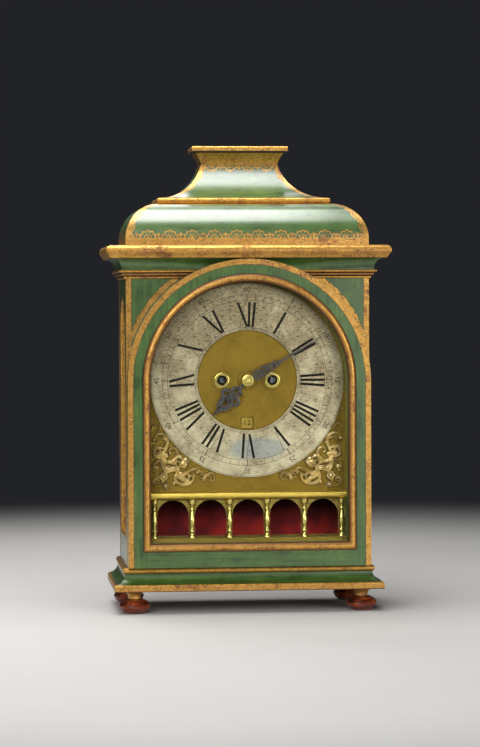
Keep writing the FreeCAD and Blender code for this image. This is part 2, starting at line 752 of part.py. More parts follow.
def make_rear_door():
    floor = rear_floor + d.rear_door_gap
    top = rear_top - d.rear_door_gap
    inside = rear_edge - d.rear_member
    face = rear_face - d.rear_door_thickness
    frame = padded("rear_door_blank", "XZ", [
        [(-rear_edge, floor), (rear_edge, floor), (rear_edge, top), (-rear_edge, top)],
        [(-inside, floor + d.rear_member), (inside, floor + d.rear_member),
         (inside, top - d.rear_member), (-inside, top - d.rear_member)],
    ], d.rear_door_thickness, y=face)
    door_x = (rear_edge - d.leaf_thickness, rear_edge)
    seats = [block("rear_leaf_seat_%d" % index, door_x, (face, rear_face), (low, low + d.hinge_length))
             for index, low in enumerate(rear_hinges)]
    seats += grooves("rear_door_groove", rear_hinge_x, rear_face, rear_hinges)
    node("rear_door_frame", cut("rear_door_frame", frame, *seats))
    inset = d.glass_clearance
    node("rear_door_glass", padded("rear_door_glass", "XZ", [[
        (-inside + inset, floor + d.rear_member + inset), (inside - inset, floor + d.rear_member + inset),
        (inside - inset, top - d.rear_member - inset), (-inside + inset, top - d.rear_member - inset),
    ]], d.glass_thickness, y=face + d.rear_door_thickness / 2))
    neck = d.knob_radius * 0.5
    knob_x = -(rear_edge - d.rear_member / 2)
    node("rear_door_knob", turned("rear_door_knob", "XY", [
        (0, 0), (neck, 0), (neck, d.knob_height * 0.3), (d.knob_radius, d.knob_height * 0.6),
        (d.knob_radius * 0.8, d.knob_height), (0, d.knob_height),
    ], x=knob_x, y=rear_face, z=(floor + top) / 2))
    case_leaves = []
    door_leaves = []
    pins = []
    stop = rear_face - groove_radius
    case_x = (rear_opening_half, rear_opening_half + d.leaf_thickness)
    plate_y = (stop - d.leaf_width / 2, stop)
    tab_y = (stop, rear_face - d.knuckle_radius * 0.8)
    for index, low in enumerate(rear_hinges):
        case_leaves.append(hinge_leaf("rear_case_leaf_%d" % index, rear_hinge_x, rear_face, low,
                                      case_x, plate_y, case_x, tab_y, True))
        door_leaves.append(hinge_leaf("rear_door_leaf_%d" % index, rear_hinge_x, rear_face, low,
                                      door_x, plate_y, door_x, tab_y, False))
        pins.append(rod("rear_pin_%d" % index, "Z", rear_hinge_x, rear_face, low,
                        d.hinge_pin_radius, d.hinge_length))
    node("rear_hinge_case_leaves", group("rear_hinge_case_leaves", *case_leaves, *pins))
    node("rear_hinge_door_leaves", group("rear_hinge_door_leaves", *door_leaves))


def make_dial():
    edge = mask_radius + d.dial_margin
    aperture = d.date_width / 2
    date_level = dial_level - d.date_drop
    window = [
        (-aperture, date_level - d.date_height / 2), (aperture, date_level - d.date_height / 2),
        (aperture, date_level + d.date_height / 2), (-aperture, date_level + d.date_height / 2),
    ]
    holes = [(-d.winding_spread, dial_level, d.winding_hole), (d.winding_spread, dial_level, d.winding_hole),
             (0, dial_level, hour_pipe_radius + d.winding_fit)]
    plate = padded("dial_sheet", "XZ", [arch(edge, ledge_top, dial_level), window], d.dial_thickness,
                   y=dial_front, circles=holes)
    node("chapter_ring", padded("chapter_ring", "XZ", [], d.ring_thickness, y=ring_front,
                                circles=[(0, dial_level, ring_radius), (0, dial_level, d.ring_inner)]))
    rim = d.collet_radius - d.collet_height
    collet = turned("collet", "XY", [
        (d.winding_hole, 0), (d.collet_radius, 0), (rim, -d.collet_height, d.collet_height, -1),
        (d.winding_hole, -d.collet_height),
    ], x=d.winding_spread, y=dial_front, z=dial_level)
    node("winding_collets", pair("winding_collets", collet))
    node("date_ring", padded("date_ring", "XZ", [], d.date_ring_thickness, y=dial_back + d.date_ring_gap,
                             circles=[(0, dial_level, radius)
                                      for radius in (d.date_ring_outer, d.date_ring_inner)]))
    # Studs on the back of the dial carry the date ring by its rim
    studs = []
    stud_radius = d.arbor_radius
    reach = (d.date_ring_outer + stud_radius + d.glass_clearance) / math.sqrt(2)
    shank = d.date_ring_gap * 2 + d.date_ring_thickness
    for index, (side, up) in enumerate(((-1, -1), (1, -1), (1, 1), (-1, 1))):
        studs.append(turned("date_stud_%d" % index, "XY", [
            (0, 0), (stud_radius, 0), (stud_radius, shank), (stud_radius * 2, shank),
            (stud_radius * 2, shank + d.date_ring_thickness), (0, shank + d.date_ring_thickness),
        ], x=reach * side, y=dial_back, z=dial_level + reach * up))
    node("dial_plate", fuse("dial_plate", plate, *studs))
    rim = ring_radius + d.glass_clearance
    reach = aperture_radius - d.spandrel_side
    floor = ledge_drop - d.spandrel_foot
    tall = root(rim * rim - d.spandrel_end * d.spandrel_end)
    deep = root(rim * rim - d.spandrel_tip * d.spandrel_tip)
    plate = padded("spandrel_plate", "XZ", [[
        (reach, -d.spandrel_end),
        (tall, -d.spandrel_end),
        (d.spandrel_tip, -deep, rim, -1),
        (d.spandrel_tip, -floor),
        (reach, -floor),
    ]], d.spandrel_thickness, y=dial_front - d.spandrel_thickness, z=dial_level)
    bosses = []
    places = (
        (reach - d.boss_in, d.boss_up - floor, d.boss_radius),
        (reach - d.high_boss_in, -d.spandrel_end - d.high_boss_down, d.small_boss_radius),
        (d.spandrel_tip + d.low_boss_in, d.low_boss_up - floor, d.small_boss_radius),
    )
    for index, (x, z, radius) in enumerate(places):
        bosses.append(turned("boss_%d" % index, "XY", [
            (0, 0), (radius, 0), (radius * 0.5, -d.boss_height), (0, -d.boss_height),
        ], x=x, y=dial_front - d.spandrel_thickness, z=dial_level + z))
    node("dial_spandrels", pair("dial_spandrels", fuse("spandrel", plate, *bosses)))


def make_hands():
    hour_front = ring_front - d.hour_lift - d.hand_thickness
    minute_front = hour_front - d.hand_gap - d.hand_thickness
    hub = d.nut_radius
    tip = d.hour_length
    neck = hub * 0.25
    shoulder = root(hub * hub - neck * neck)
    outline = [
        (neck, tip * 0.34),
        (tip * 0.2, tip * 0.56, tip * 0.26, 1),
        (neck, tip * 0.82, tip * 0.3, 1),
        (0, tip),
        (-neck, tip * 0.82),
        (-tip * 0.2, tip * 0.56, tip * 0.3, 1),
        (-neck, tip * 0.34, tip * 0.26, 1),
        (-neck, shoulder),
        (-hub, 0, hub, 1),
        (0, -hub, hub, 1),
        (hub, 0, hub, 1),
        (neck, shoulder, hub, 1),
    ]
    pierced = [(0, 0, hour_pipe_radius), (tip * 0.09, tip * 0.54, tip * 0.05),
               (-tip * 0.09, tip * 0.54, tip * 0.05), (0, tip * 0.68, tip * 0.04)]
    hour = padded("hour_hand", "XZ", [outline], d.hand_thickness, circles=pierced)
    turn_hand(hour, hour_front, d.hour_angle)
    node("hour_hand", hour)
    tip = minute_length
    neck = hub * 0.22
    shoulder = root(hub * hub - neck * neck)
    wide = tip * 0.085
    outline = [
        (neck, tip * 0.12),
        (wide, tip * 0.28, tip * 0.18, 1),
        (neck, tip * 0.46, tip * 0.22, 1),
        (neck * 0.4, tip * 0.98),
        (0, tip),
        (-neck * 0.4, tip * 0.98),
        (-neck, tip * 0.46),
        (-wide, tip * 0.28, tip * 0.22, 1),
        (-neck, tip * 0.12, tip * 0.18, 1),
        (-neck, shoulder),
        (-hub, 0, hub, 1),
        (0, -hub, hub, 1),
        (hub, 0, hub, 1),
        (neck, shoulder, hub, 1),
    ]
    pierced = [(0, 0, cannon_radius), (tip * 0.038, tip * 0.27, tip * 0.024),
               (-tip * 0.038, tip * 0.27, tip * 0.024), (0, tip * 0.37, tip * 0.02)]
    minute = padded("minute_hand", "XZ", [outline], d.hand_thickness, circles=pierced)
    turn_hand(minute, minute_front, d.minute_angle)
    node("minute_hand", minute)
    node("hand_nut", turned("hand_nut", "XY", [
        (0, 0), (d.nut_radius, 0), (d.nut_radius * 0.55, -d.nut_height, d.nut_height, -1), (0, -d.nut_height),
    ], y=minute_front, z=dial_level))


def turn_hand(hand, y, angle):
    """Set a hand, drawn pointing up, to its place on the dial."""
    turn = FreeCAD.Rotation(FreeCAD.Vector(0, 1, 0), angle.value)
    hand.Placement = FreeCAD.Placement(FreeCAD.Vector(), turn)
    locate(hand, 0, y, dial_level)


def make_gallery():
    reach = gallery_reach
    front = case_front + d.ledge_setback
    nosing = d.ledge_height / 2
    ledge = padded("gallery_ledge", "YZ", [[
        (dial_front, ledge_floor),
        (dial_front, ledge_top),
        (front + nosing, ledge_top),
        (front, ledge_floor + nosing, nosing, 1),
        (front + nosing, ledge_floor, nosing, 1),
    ]], reach * 2, x=-reach)
    sill = block("gallery_sill", (-reach, reach), (front, dial_front), (aperture_floor, sill_top))
    node("gallery_rails", group("gallery_rails", ledge, sill))
    spring = ledge_floor - arch_radius - d.gallery_clearance
    foot = sill_top + d.sill_height / 2
    arches = [arch(arch_radius, foot, spring, arch_pitch * step) for step in range(-2, 3)]
    plate = [(-reach, sill_top), (reach, sill_top), (reach, ledge_floor), (-reach, ledge_floor)]
    node("gallery_arcade", padded("gallery_arcade", "XZ", [plate] + arches, d.arcade_thickness,
                                  y=case_front + d.arcade_setback))
    high = ledge_floor - sill_top
    wide = d.baluster_radius
    profile = [
        (0, 0), (wide, 0), (wide, high * 0.1), (wide * 0.55, high * 0.15),
        (wide * 0.9, high * 0.32, high * 0.16, 1),
        (wide * 0.4, high * 0.62, high * 0.5, 1),
        (wide * 0.4, high * 0.72), (wide * 0.8, high * 0.78), (wide * 0.5, high * 0.84),
        (wide, high * 0.92), (wide, high), (0, high),
    ]
    columns = []
    for step in range(3):
        column = turned("baluster_%d" % step, "XZ", profile, x=arch_pitch * (step + 0.5),
                        y=case_front + d.baluster_setback, z=sill_top)
        columns += [column, mirrored("baluster_%d_other" % step, column)]
    node("gallery_balusters", group("gallery_balusters", *columns))
    outer = mask_radius + d.stage_wall
    room = mask_radius
    box = block("stage_box", (-outer, outer), (dial_front, dial_front + d.stage_depth),
                (aperture_floor - d.stage_wall, ledge_floor + d.stage_wall))
    hollow = block("stage_hollow", (-room, room), (dial_front, dial_front + d.stage_depth - d.stage_wall),
                   (aperture_floor, ledge_floor))
    node("stage_lining", cut("stage_lining", box, hollow))


# Arbor places, measured from the dial's centre
hour_pipe_radius = d.arbor_radius * 2.2
cannon_radius = d.arbor_radius * 1.5
great_reach = d.great_module * (GREAT_TEETH + CENTRE_LEAVES) / 2
third_reach = d.centre_module * (CENTRE_TEETH + THIRD_LEAVES) / 2
third_up = root(third_reach * third_reach - d.third_across * d.third_across)
escape_reach = d.third_module * (THIRD_TEETH + ESCAPE_LEAVES) / 2
escape_up = third_up + root(escape_reach * escape_reach - d.third_across * d.third_across)
stud_down = d.cannon_module * (CANNON_LEAVES + MINUTE_TEETH) / 2
pin_side = d.pin_across - d.winding_spread
pin_up = root(great_reach * great_reach - pin_side * pin_side)
fly_reach = d.third_module * (PIN_TEETH + FLY_LEAVES) / 2
fly_side = d.pin_across - d.fly_across
cannon_plane = front_plate - d.pinion_length - d.wheel_thickness / 2
minute_plane = cannon_plane + (d.pinion_length - d.wheel_thickness) / 2
hour_plane = minute_plane - d.pinion_length - d.wheel_thickness / 2
stud_end = hour_plane - d.wheel_thickness
fly_up = pin_up + root(fly_reach * fly_reach - fly_side * fly_side)


# Teeth: height above and depth below the pitch circle in modules, half widths at foot and tip in pitches
WHEEL_TOOTH = (0.9, 1.25, 0.19, 0.05)
PINION_LEAF = (0.5, 1.5, 0.14, 0.1)


def tooth_ring(count, module, form, phase):
    """Corner points of a toothed wheel whose first tooth is at the phase angle."""
    height, depth, foot, tip = form
    pitch = module * count / 2
    share = 2 * math.pi / count
    outer = pitch + height * module
    inner = pitch - depth * module
    corners = []
    for index in range(count):
        for radius, lean in ((inner, -foot), (outer, -tip), (outer, tip), (inner, foot)):
            angle = phase + share * (index + lean)
            corners.append(FreeCAD.Vector(radius * math.sin(angle), 0, radius * math.cos(angle)))
    return corners


def toothed(name, count, module, thickness, x, y, z, phase, leaves=False, spokes=0, hub=0):
    """A wheel or a pinion with its first tooth turned clockwise from the top by the phase."""
    corners = tooth_ring(count, module.value, PINION_LEAF if leaves else WHEEL_TOOTH, phase)
    outline = Part.makePolygon(corners + corners[:1])
    wires = [outline]
    if spokes:
        rim = module.value * count / 2 - 5 * module.value
        wires += spoke_gaps(spokes, rim, size(hub).value)
    face = Part.makeFace(wires, "Part::FaceMakerBullseye")
    item = doc.addObject("Part::Feature", name)
    item.Shape = face.extrude(FreeCAD.Vector(0, thickness.value, 0))
    locate(item, x, y, z)
    return item


def spoke_gaps(count, rim, hub):
    """The openings between the spokes of a wheel."""
    half = hub * 0.35
    gaps = []
    for index in range(count):
        corners = []
        for radius, turn in ((hub, 0), (rim, 0), (rim, 1), (hub, 1)):
            lean = math.asin(half / radius)
            angle = 2 * math.pi * (index + turn) / count + (lean if turn == 0 else -lean)
            corners.append((radius, angle))
        points = [FreeCAD.Vector(r * math.sin(a), 0, r * math.cos(a)) for r, a in corners]
        middle = 2 * math.pi * (index + 0.5) / count
        outer = FreeCAD.Vector(rim * math.sin(middle), 0, rim * math.cos(middle))
        inner = FreeCAD.Vector(hub * math.sin(middle), 0, hub * math.cos(middle))
        edges = [
            Part.LineSegment(points[0], points[1]).toShape(),
            Part.Arc(points[1], outer, points[2]).toShape(),
            Part.LineSegment(points[2], points[3]).toShape(),
            Part.Arc(points[3], inner, points[0]).toShape(),
        ]
        gaps.append(Part.Wire(edges))
    return gaps


def bearing(x, z):
    """The angle of a place, clockwise from the top."""
    return math.atan2(size(x).value, size(z).value)


def meshed(angle, count):
    """The phase of a follower whose gap faces a driver's tooth at this bearing."""
    return angle + math.pi + math.pi / count


def pivoted(name, x, z, radius, start, end):
    """A straight arbor between two planes."""
    return rod(name, "Y", x, start, dial_level + z, radius, end - start)


def arbor_with_pivots(name, x, z, radius):
    """An arbor between the plates, with a thin pivot in each."""
    shake = d.pivot_fit
    body = pivoted(name + "_body", x, z, radius, train_start + shake, back_plate - shake)
    pivots = pivoted(name + "_pivots", x, z, d.pivot_radius, front_plate, frame_back)
    return [body, pivots]


def make_frame():
    left, right = -plate_half_width, plate_half_width
    floor = dial_level - d.plate_below
    top = dial_level + d.plate_above
    outline = [(left, floor), (right, floor), (right, top), (left, top)]
    pivot = d.pivot_radius + d.pivot_fit
    centre = d.arbor_radius + d.pivot_fit
    winding = d.winding_arbor_radius + d.winding_fit
    arbors = [(d.third_across, third_up), (0, escape_up), (-d.pin_across, pin_up), (-d.fly_across, fly_up),
              (-hammer_across, d.hammer_rise)]
    holes = [(x, dial_level + z, pivot) for x, z in arbors]
    holes += [(-d.winding_spread, dial_level, winding), (d.winding_spread, dial_level, winding)]
    sheet_front = padded("front_sheet", "XZ", [outline], d.plate_thickness, y=front_plate, circles=holes + [
        (0, dial_level, centre), (0, dial_level + d.pallet_rise, pivot)])
    stud = pivoted("minute_stud", 0, -stud_down, d.arbor_radius, stud_end, front_plate)
    front = fuse("front_plate", sheet_front, stud)
    back = padded("back_plate", "XZ", [outline], d.plate_thickness, y=back_plate, circles=holes + [
        (0, dial_level, pivot), (0, dial_level + d.pallet_rise, d.arbor_radius * 2)])
    pillars = []
    for index, up in enumerate((floor + d.pillar_inset, top - d.pillar_inset)):
        waist = d.pillar_radius * 0.7
        pillar = turned("pillar_%d" % index, "XY", [
            (0, 0), (d.pillar_radius, 0), (d.pillar_radius, plate_gap * 0.1), (waist, plate_gap * 0.16),
            (d.pillar_radius * 0.9, plate_gap / 2), (waist, plate_gap * 0.84),
            (d.pillar_radius, plate_gap * 0.9), (d.pillar_radius, plate_gap), (0, plate_gap),
        ], x=plate_half_width - d.pillar_inset, y=train_start, z=up)
        pillars += [pillar, mirrored("pillar_%d_other" % index, pillar)]
    node("movement_frame", group("movement_frame", front, back, *pillars))
    inside = half_width - d.side_thickness
    seat_floor = floor - d.seat_thickness
    span = (case_front + d.seat_front, case_front + d.seat_back)
    seat = block("seat_plank", (-inside, inside), span, (seat_floor, floor))
    cleat = block("seat_cleat", (inside - d.cleat_width, inside), span,
                  (seat_floor - d.cleat_height, seat_floor))
    node("seat_board", group("seat_board", seat, cleat, mirrored("seat_cleat_other", cleat)))


def make_barrel(name, side, teeth_first):
    """A spring barrel with its great wheel, and the winding arbor through it."""
    x = d.winding_spread * side
    start = train_start + d.drum_start
    end = start + d.drum_length
    drum = pivoted(name + "_drum", x, 0, d.drum_radius, start, end)
    wheel_at = start if teeth_first else end - d.great_thickness
    if teeth_first:
        towards = bearing(-pin_side, pin_up)
    else:
        towards = bearing(-d.winding_spread, 0)
    great = toothed(name + "_great", GREAT_TEETH, d.great_module, d.great_thickness,
                    x, wheel_at, dial_level, towards)
    bore = pivoted(name + "_bore", x, 0, d.winding_arbor_radius + d.winding_fit, start, end)
    node(name + "_barrel", cut(name + "_barrel", fuse(name + "_body", drum, great), bore))
    shaft = pivoted(name + "_shaft", x, 0, d.winding_arbor_radius, dial_back + d.winding_fit, frame_back)
    half = d.winding_square / 2
    square = block(name + "_square", (x - half, x + half), (ring_front, front_plate),
                   (dial_level - half, dial_level + half))
    node(name + "_winding_arbor", fuse(name + "_winding_arbor", shaft, square))


def make_going_train():
    make_barrel("going", 1, False)
    end = train_start + d.drum_start + d.drum_length
    # Centre arbor: pinion, wheel, and the cannon pinion that carries the minute hand
    start = end - d.great_thickness - (d.pinion_length - d.great_thickness) / 2
    towards = bearing(-d.winding_spread, 0)
    plane = train_start + d.centre_plane
    leaves = toothed("centre_pinion", CENTRE_LEAVES, d.great_module, d.pinion_length, 0, start, dial_level,
                     meshed(towards, CENTRE_LEAVES), leaves=True)
    to_third = bearing(d.third_across, third_up)
    wheel = toothed("centre_rim", CENTRE_TEETH, d.centre_module, d.wheel_thickness, 0, plane, dial_level,
                    to_third, spokes=4, hub=d.arbor_radius * 2.5)
    arbor = pivoted("centre_arbor", 0, 0, d.arbor_radius, front_plate, back_plate - d.pivot_fit)
    tail = pivoted("centre_tail", 0, 0, d.pivot_radius, front_plate, frame_back)
    node("centre_wheel", fuse("centre_wheel", arbor, tail, leaves, wheel))
    cannon = toothed("cannon_leaves", CANNON_LEAVES, d.cannon_module, d.pinion_length, 0, cannon_plane,
                     dial_level, meshed(0, CANNON_LEAVES), leaves=True)
    minute_front = ring_front - d.hour_lift - d.hand_thickness * 2 - d.hand_gap
    pipe = pivoted("cannon_pipe", 0, 0, cannon_radius, minute_front, front_plate)
    node("cannon_pinion", fuse("cannon_pinion", cannon, pipe))
    # Minute wheel on its stud, and the hour wheel with its pipe
    minute = toothed("minute_rim", MINUTE_TEETH, d.cannon_module, d.wheel_thickness, 0, minute_plane,
                     dial_level - stud_down, 0)
    drive = toothed("minute_leaves", MINUTE_LEAVES, d.hour_module, minute_plane - hour_plane, 0, hour_plane,
                    dial_level - stud_down, 0, leaves=True)
    stud_fit = d.arbor_radius + d.winding_fit
    bore = pivoted("minute_bore", 0, -stud_down, stud_fit, hour_plane, front_plate)
    node("minute_wheel", cut("minute_wheel", fuse("minute_body", minute, drive), bore))
    hour = toothed("hour_rim", HOUR_TEETH, d.hour_module, d.wheel_thickness, 0,
                   hour_plane + d.wheel_thickness / 2, dial_level, math.pi + math.pi / HOUR_TEETH)
    hour_front = ring_front - d.hour_lift - d.hand_thickness
    pipe = pivoted("hour_pipe_tube", 0, 0, hour_pipe_radius, hour_front, hour_plane + d.wheel_thickness * 1.5)
    bore = pivoted("hour_bore", 0, 0, cannon_radius + d.winding_fit, hour_front, front_plate)
    node("hour_wheel", cut("hour_wheel", fuse("hour_body", hour, pipe), bore))
    # Third wheel, escape wheel and pallets
    plane_three = train_start + d.third_plane
    leaves = toothed("third_pinion", THIRD_LEAVES, d.centre_module, d.pinion_length, d.third_across,
                     plane - d.wheel_thickness / 2, dial_level + third_up,
                     meshed(to_third, THIRD_LEAVES), leaves=True)
    to_escape = bearing(-d.third_across, escape_up - third_up)
    wheel = toothed("third_rim", THIRD_TEETH, d.third_module, d.wheel_thickness, d.third_across, plane_three,
                    dial_level + third_up, to_escape, spokes=4, hub=d.arbor_radius * 2.5)
    arbor = arbor_with_pivots("third_arbor", d.third_across, third_up, d.thin_arbor_radius)
    node("third_wheel", fuse("third_wheel", leaves, wheel, *arbor))
    leaves = toothed("escape_pinion", ESCAPE_LEAVES, d.third_module, d.pinion_length, 0,
                     plane_three - d.wheel_thickness / 2, dial_level + escape_up,
                     meshed(to_escape, ESCAPE_LEAVES), leaves=True)
    rim = escape_rim("escape_rim", train_start + d.escape_plane)
    arbor = arbor_with_pivots("escape_arbor", 0, escape_up, d.thin_arbor_radius)
    node("escape_wheel", fuse("escape_wheel", leaves, rim, *arbor))


def escape_rim(name, y):
    """The escape wheel: teeth that lean the way it turns."""
    share = 2 * math.pi / ESCAPE_TEETH
    tip = d.escape_radius.value
    foot = tip - d.escape_tooth.value
    corners = []
    for index in range(ESCAPE_TEETH):
        for radius, turn in ((foot, 0.0), (tip, 0.55), (tip, 0.65), (foot, 0.7)):
            angle = share * (index + turn)
            corners.append(FreeCAD.Vector(radius * math.sin(angle), 0, radius * math.cos(angle)))
    wires = [Part.makePolygon(corners + corners[:1])]
    wires += spoke_gaps(4, foot - d.wheel_thickness.value, d.arbor_radius.value * 2)
    item = doc.addObject("Part::Feature", name)
    face = Part.makeFace(wires, "Part::FaceMakerBullseye")
    item.Shape = face.extrude(FreeCAD.Vector(0, d.wheel_thickness.value, 0))
    locate(item, 0, y, dial_level + escape_up)
    return item


# Pendulum places
pallet_level = dial_level + d.pallet_rise
rod_plane = frame_back + d.pendulum_setback
cock_face = frame_back + d.cock_reach


def make_pendulum():
    clear = d.escape_radius + d.hammer_clearance
    drop = d.pallet_rise - escape_up
    near = drop - clear
    reach = d.escape_radius * 0.8
    claw = drop - root(d.escape_radius * d.escape_radius - reach * reach * 0.5) + d.hammer_clearance
    anchor = padded("anchor", "XZ", [[
        (d.arbor_radius * 1.6, near * -0.45),
        (reach, -claw),
        (reach + d.arbor_radius, -claw * 0.8),
        (d.arbor_radius * 2, d.arbor_radius * 1.8),
        (-d.arbor_radius * 2, d.arbor_radius * 1.8),
        (-reach - d.arbor_radius, -claw * 0.8),
        (-reach, -claw),
        (-d.arbor_radius * 1.6, near * -0.45),
    ]], d.wheel_thickness, y=train_start + d.escape_plane, z=pallet_level)
    arbor = pivoted("pallet_arbor_body", 0, d.pallet_rise, d.arbor_radius, train_start + d.pivot_fit,
                    cock_face - d.pivot_fit)
    pivots = pivoted("pallet_pivots", 0, d.pallet_rise, d.pivot_radius, front_plate,
                     cock_face + d.cock_thickness)
    boss_half = d.rod_radius * 2
    boss = pivoted("pallet_boss", 0, d.pallet_rise, d.arbor_radius * 2,
                   rod_plane - boss_half, rod_plane + boss_half)
    socket = rod("rod_socket", "Z", 0, rod_plane, pallet_level - d.arbor_radius * 2,
                 d.rod_radius + d.pivot_fit, d.arbor_radius)
    node("pallet_anchor", cut("pallet_anchor", fuse("pallet_body", anchor, arbor, pivots, boss), socket))
    bob_level = plinth_top + d.bob_rise
    bob_bottom = bob_level + d.bob_radius
    wire = rod("pendulum_wire", "Z", 0, rod_plane, bob_bottom - d.arbor_radius, d.rod_radius,
               pallet_level - bob_bottom)
    half = d.bob_thickness / 2
    edge = d.rod_radius
    drop = half - edge
    run = d.bob_radius - edge
    crown = (drop * drop + run * run) / (drop * 2)
    lens = turned("bob_lens", "XY", [
        (0, -half), (edge, -half), (d.bob_radius, -edge, crown, 1), (d.bob_radius, edge),
        (edge, half, crown, 1), (0, half),
    ], y=rod_plane, z=bob_level)
    hole = rod("bob_hole", "Z", 0, rod_plane, bob_bottom - d.arbor_radius, d.rod_radius + d.pivot_fit,
               d.arbor_radius * 2)
    node("pendulum", group("pendulum", wire, cut("pendulum_bob", lens, hole)))
    # The back cock carries the rear end of the pallet arbor
    half_cock = d.strap_width / 2 + d.arbor_radius * 3
    ear = d.arbor_radius * 3
    top = pallet_level + d.strap_width / 2
    bridge = block("cock_bridge", (-half_cock, half_cock), (cock_face, cock_face + d.cock_thickness),
                   (pallet_level - d.strap_width / 2, top))
    legs = []
    for side in (-1, 1):
        edge = half_cock * side
        span = (edge, edge + ear) if side < 0 else (edge - ear, edge)
        legs.append(block("cock_leg_%s" % ("left" if side < 0 else "right"), span, (frame_back, cock_face),
                          (pallet_level - d.strap_width / 2, top)))
    hole = pivoted("cock_hole", 0, d.pallet_rise, d.pivot_radius + d.pivot_fit, cock_face,
                   cock_face + d.cock_thickness)
    node("back_cock", cut("back_cock", fuse("cock_body", bridge, *legs), hole))


def make_strike():
    make_barrel("strike", -1, True)
    start = train_start + d.drum_start
    towards = bearing(-pin_side, pin_up)
    plane = train_start + d.centre_plane
    leaves = toothed("pin_pinion", PIN_LEAVES, d.great_module, d.pinion_length, -d.pin_across,
                     start - (d.pinion_length - d.great_thickness) / 2, dial_level + pin_up,
                     meshed(towards, PIN_LEAVES), leaves=True)
    to_fly = bearing(fly_side, fly_up - pin_up)
    wheel = toothed("pin_rim", PIN_TEETH, d.third_module, d.wheel_thickness, -d.pin_across, plane,
                    dial_level + pin_up, to_fly, spokes=4, hub=d.arbor_radius * 2.5)
    pins = []
    for index in range(STRIKING_PINS):
        angle = 2 * math.pi * (index + 0.5) / STRIKING_PINS
        pins.append(pivoted("striking_pin_%d" % index, d.pin_circle * math.sin(angle) - d.pin_across,
                            pin_up + d.pin_circle * math.cos(angle), d.striking_pin_radius,
                            plane, plane + d.wheel_thickness + d.striking_pin_length))
    arbor = arbor_with_pivots("pin_arbor", -d.pin_across, pin_up, d.thin_arbor_radius)
    node("pin_wheel", fuse("pin_wheel", leaves, wheel, *pins, *arbor))
    leaves = toothed("fly_pinion", FLY_LEAVES, d.third_module, d.pinion_length, -d.fly_across,
                     plane - d.wheel_thickness / 2, dial_level + fly_up,
                     meshed(to_fly, FLY_LEAVES), leaves=True)
    vane = block("fly_vane", (-d.fly_across - d.fly_radius, -d.fly_across + d.fly_radius),
                 (train_start + d.fly_start, train_start + d.fly_start + d.fly_length),
                 (dial_level + fly_up - d.fly_thickness / 2, dial_level + fly_up + d.fly_thickness / 2))
    arbor = arbor_with_pivots("fly_arbor", -d.fly_across, fly_up, d.thin_arbor_radius)
    node("fly", fuse("fly", leaves, vane, *arbor))
    # Bell on its strap, and the hammer beside its lip
    middle = train_start + plate_gap / 2
    lip = dial_level + d.bell_rise
    crown = lip + d.bell_height
    inner = bell_radius - d.bell_wall
    boss = d.arbor_radius + d.pivot_fit
    bell = turned("bell_cup", "XZ", [
        (inner, 0), (bell_radius, 0), (bell_radius * 0.82, d.bell_height * 0.55),
        (bell_radius * 0.45, d.bell_height, d.bell_height * 0.75, 1), (boss, d.bell_height),
        (boss, d.bell_height - d.bell_wall), (bell_radius * 0.45, d.bell_height - d.bell_wall),
        (inner * 0.8, d.bell_height * 0.5, d.bell_height * 0.75, -1),
    ], x=-d.bell_across, y=middle, z=lip)
    half = d.strap_width / 2
    strap_x = (-d.bell_across - half, -d.bell_across + half)
    upright = block("bell_upright", strap_x, (frame_back, frame_back + d.strap_thickness),
                    (dial_level + d.plate_above * 0.75, crown + d.strap_thickness))
    arm = block("bell_arm", strap_x, (middle - half, frame_back + d.strap_thickness),
                (crown, crown + d.strap_thickness))
    stem = rod("bell_stem", "Z", -d.bell_across, middle, crown - d.bell_wall * 2,
               d.arbor_radius, d.bell_wall * 3)
    nut = rod("bell_nut", "Z", -d.bell_across, middle, crown - d.bell_wall * 2.5, d.arbor_radius * 2,
              d.bell_wall * 1.5)
    strap = fuse("bell_strap", upright, arm, stem, nut)
    node("strike_bell", group("strike_bell", bell, strap))
    head_end = -(d.bell_across + bell_radius + d.hammer_clearance)
    head_level = d.bell_rise + d.hammer_head_radius
    head = rod("hammer_head", "X", head_end - d.hammer_head_length, middle, dial_level + head_level,
               d.hammer_head_radius, d.hammer_head_length)
    arm = rod("hammer_arm", "Z", -hammer_across, middle, dial_level + d.hammer_rise, d.thin_arbor_radius,
              head_level - d.hammer_rise)
    arbor = arbor_with_pivots("hammer_arbor", -hammer_across, d.hammer_rise, d.arbor_radius)
    node("strike_hammer", fuse("strike_hammer", head, arm, *arbor))


make_plinth()
make_case()
make_cornice()
make_bell_top()
make_front_door()
make_front_hinges()
make_rear_door()
make_dial()
make_hands()
make_gallery()
make_frame()
make_going_train()
make_pendulum()
make_strike()
doc.recompute()

failed = [item.Name for item in doc.Objects if "Invalid" in item.State or "Error" in item.State]
failed += [item.Label for item in nodes
           if item.Shape.isNull() or not item.Shape.isValid() or not item.Shape.Solids]
if failed:
    raise RuntimeError("not built: " + ", ".join(failed))
os.makedirs("parts", exist_ok=True)
for item in nodes:
    item.Shape.exportStep("parts/%s.step" % item.Label)
    print("%-26s %2d solids %12.1f mm3" % (item.Label, len(item.Shape.Solids), item.Shape.Volume))
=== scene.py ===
import math

import bpy
from mathutils import Matrix, Vector


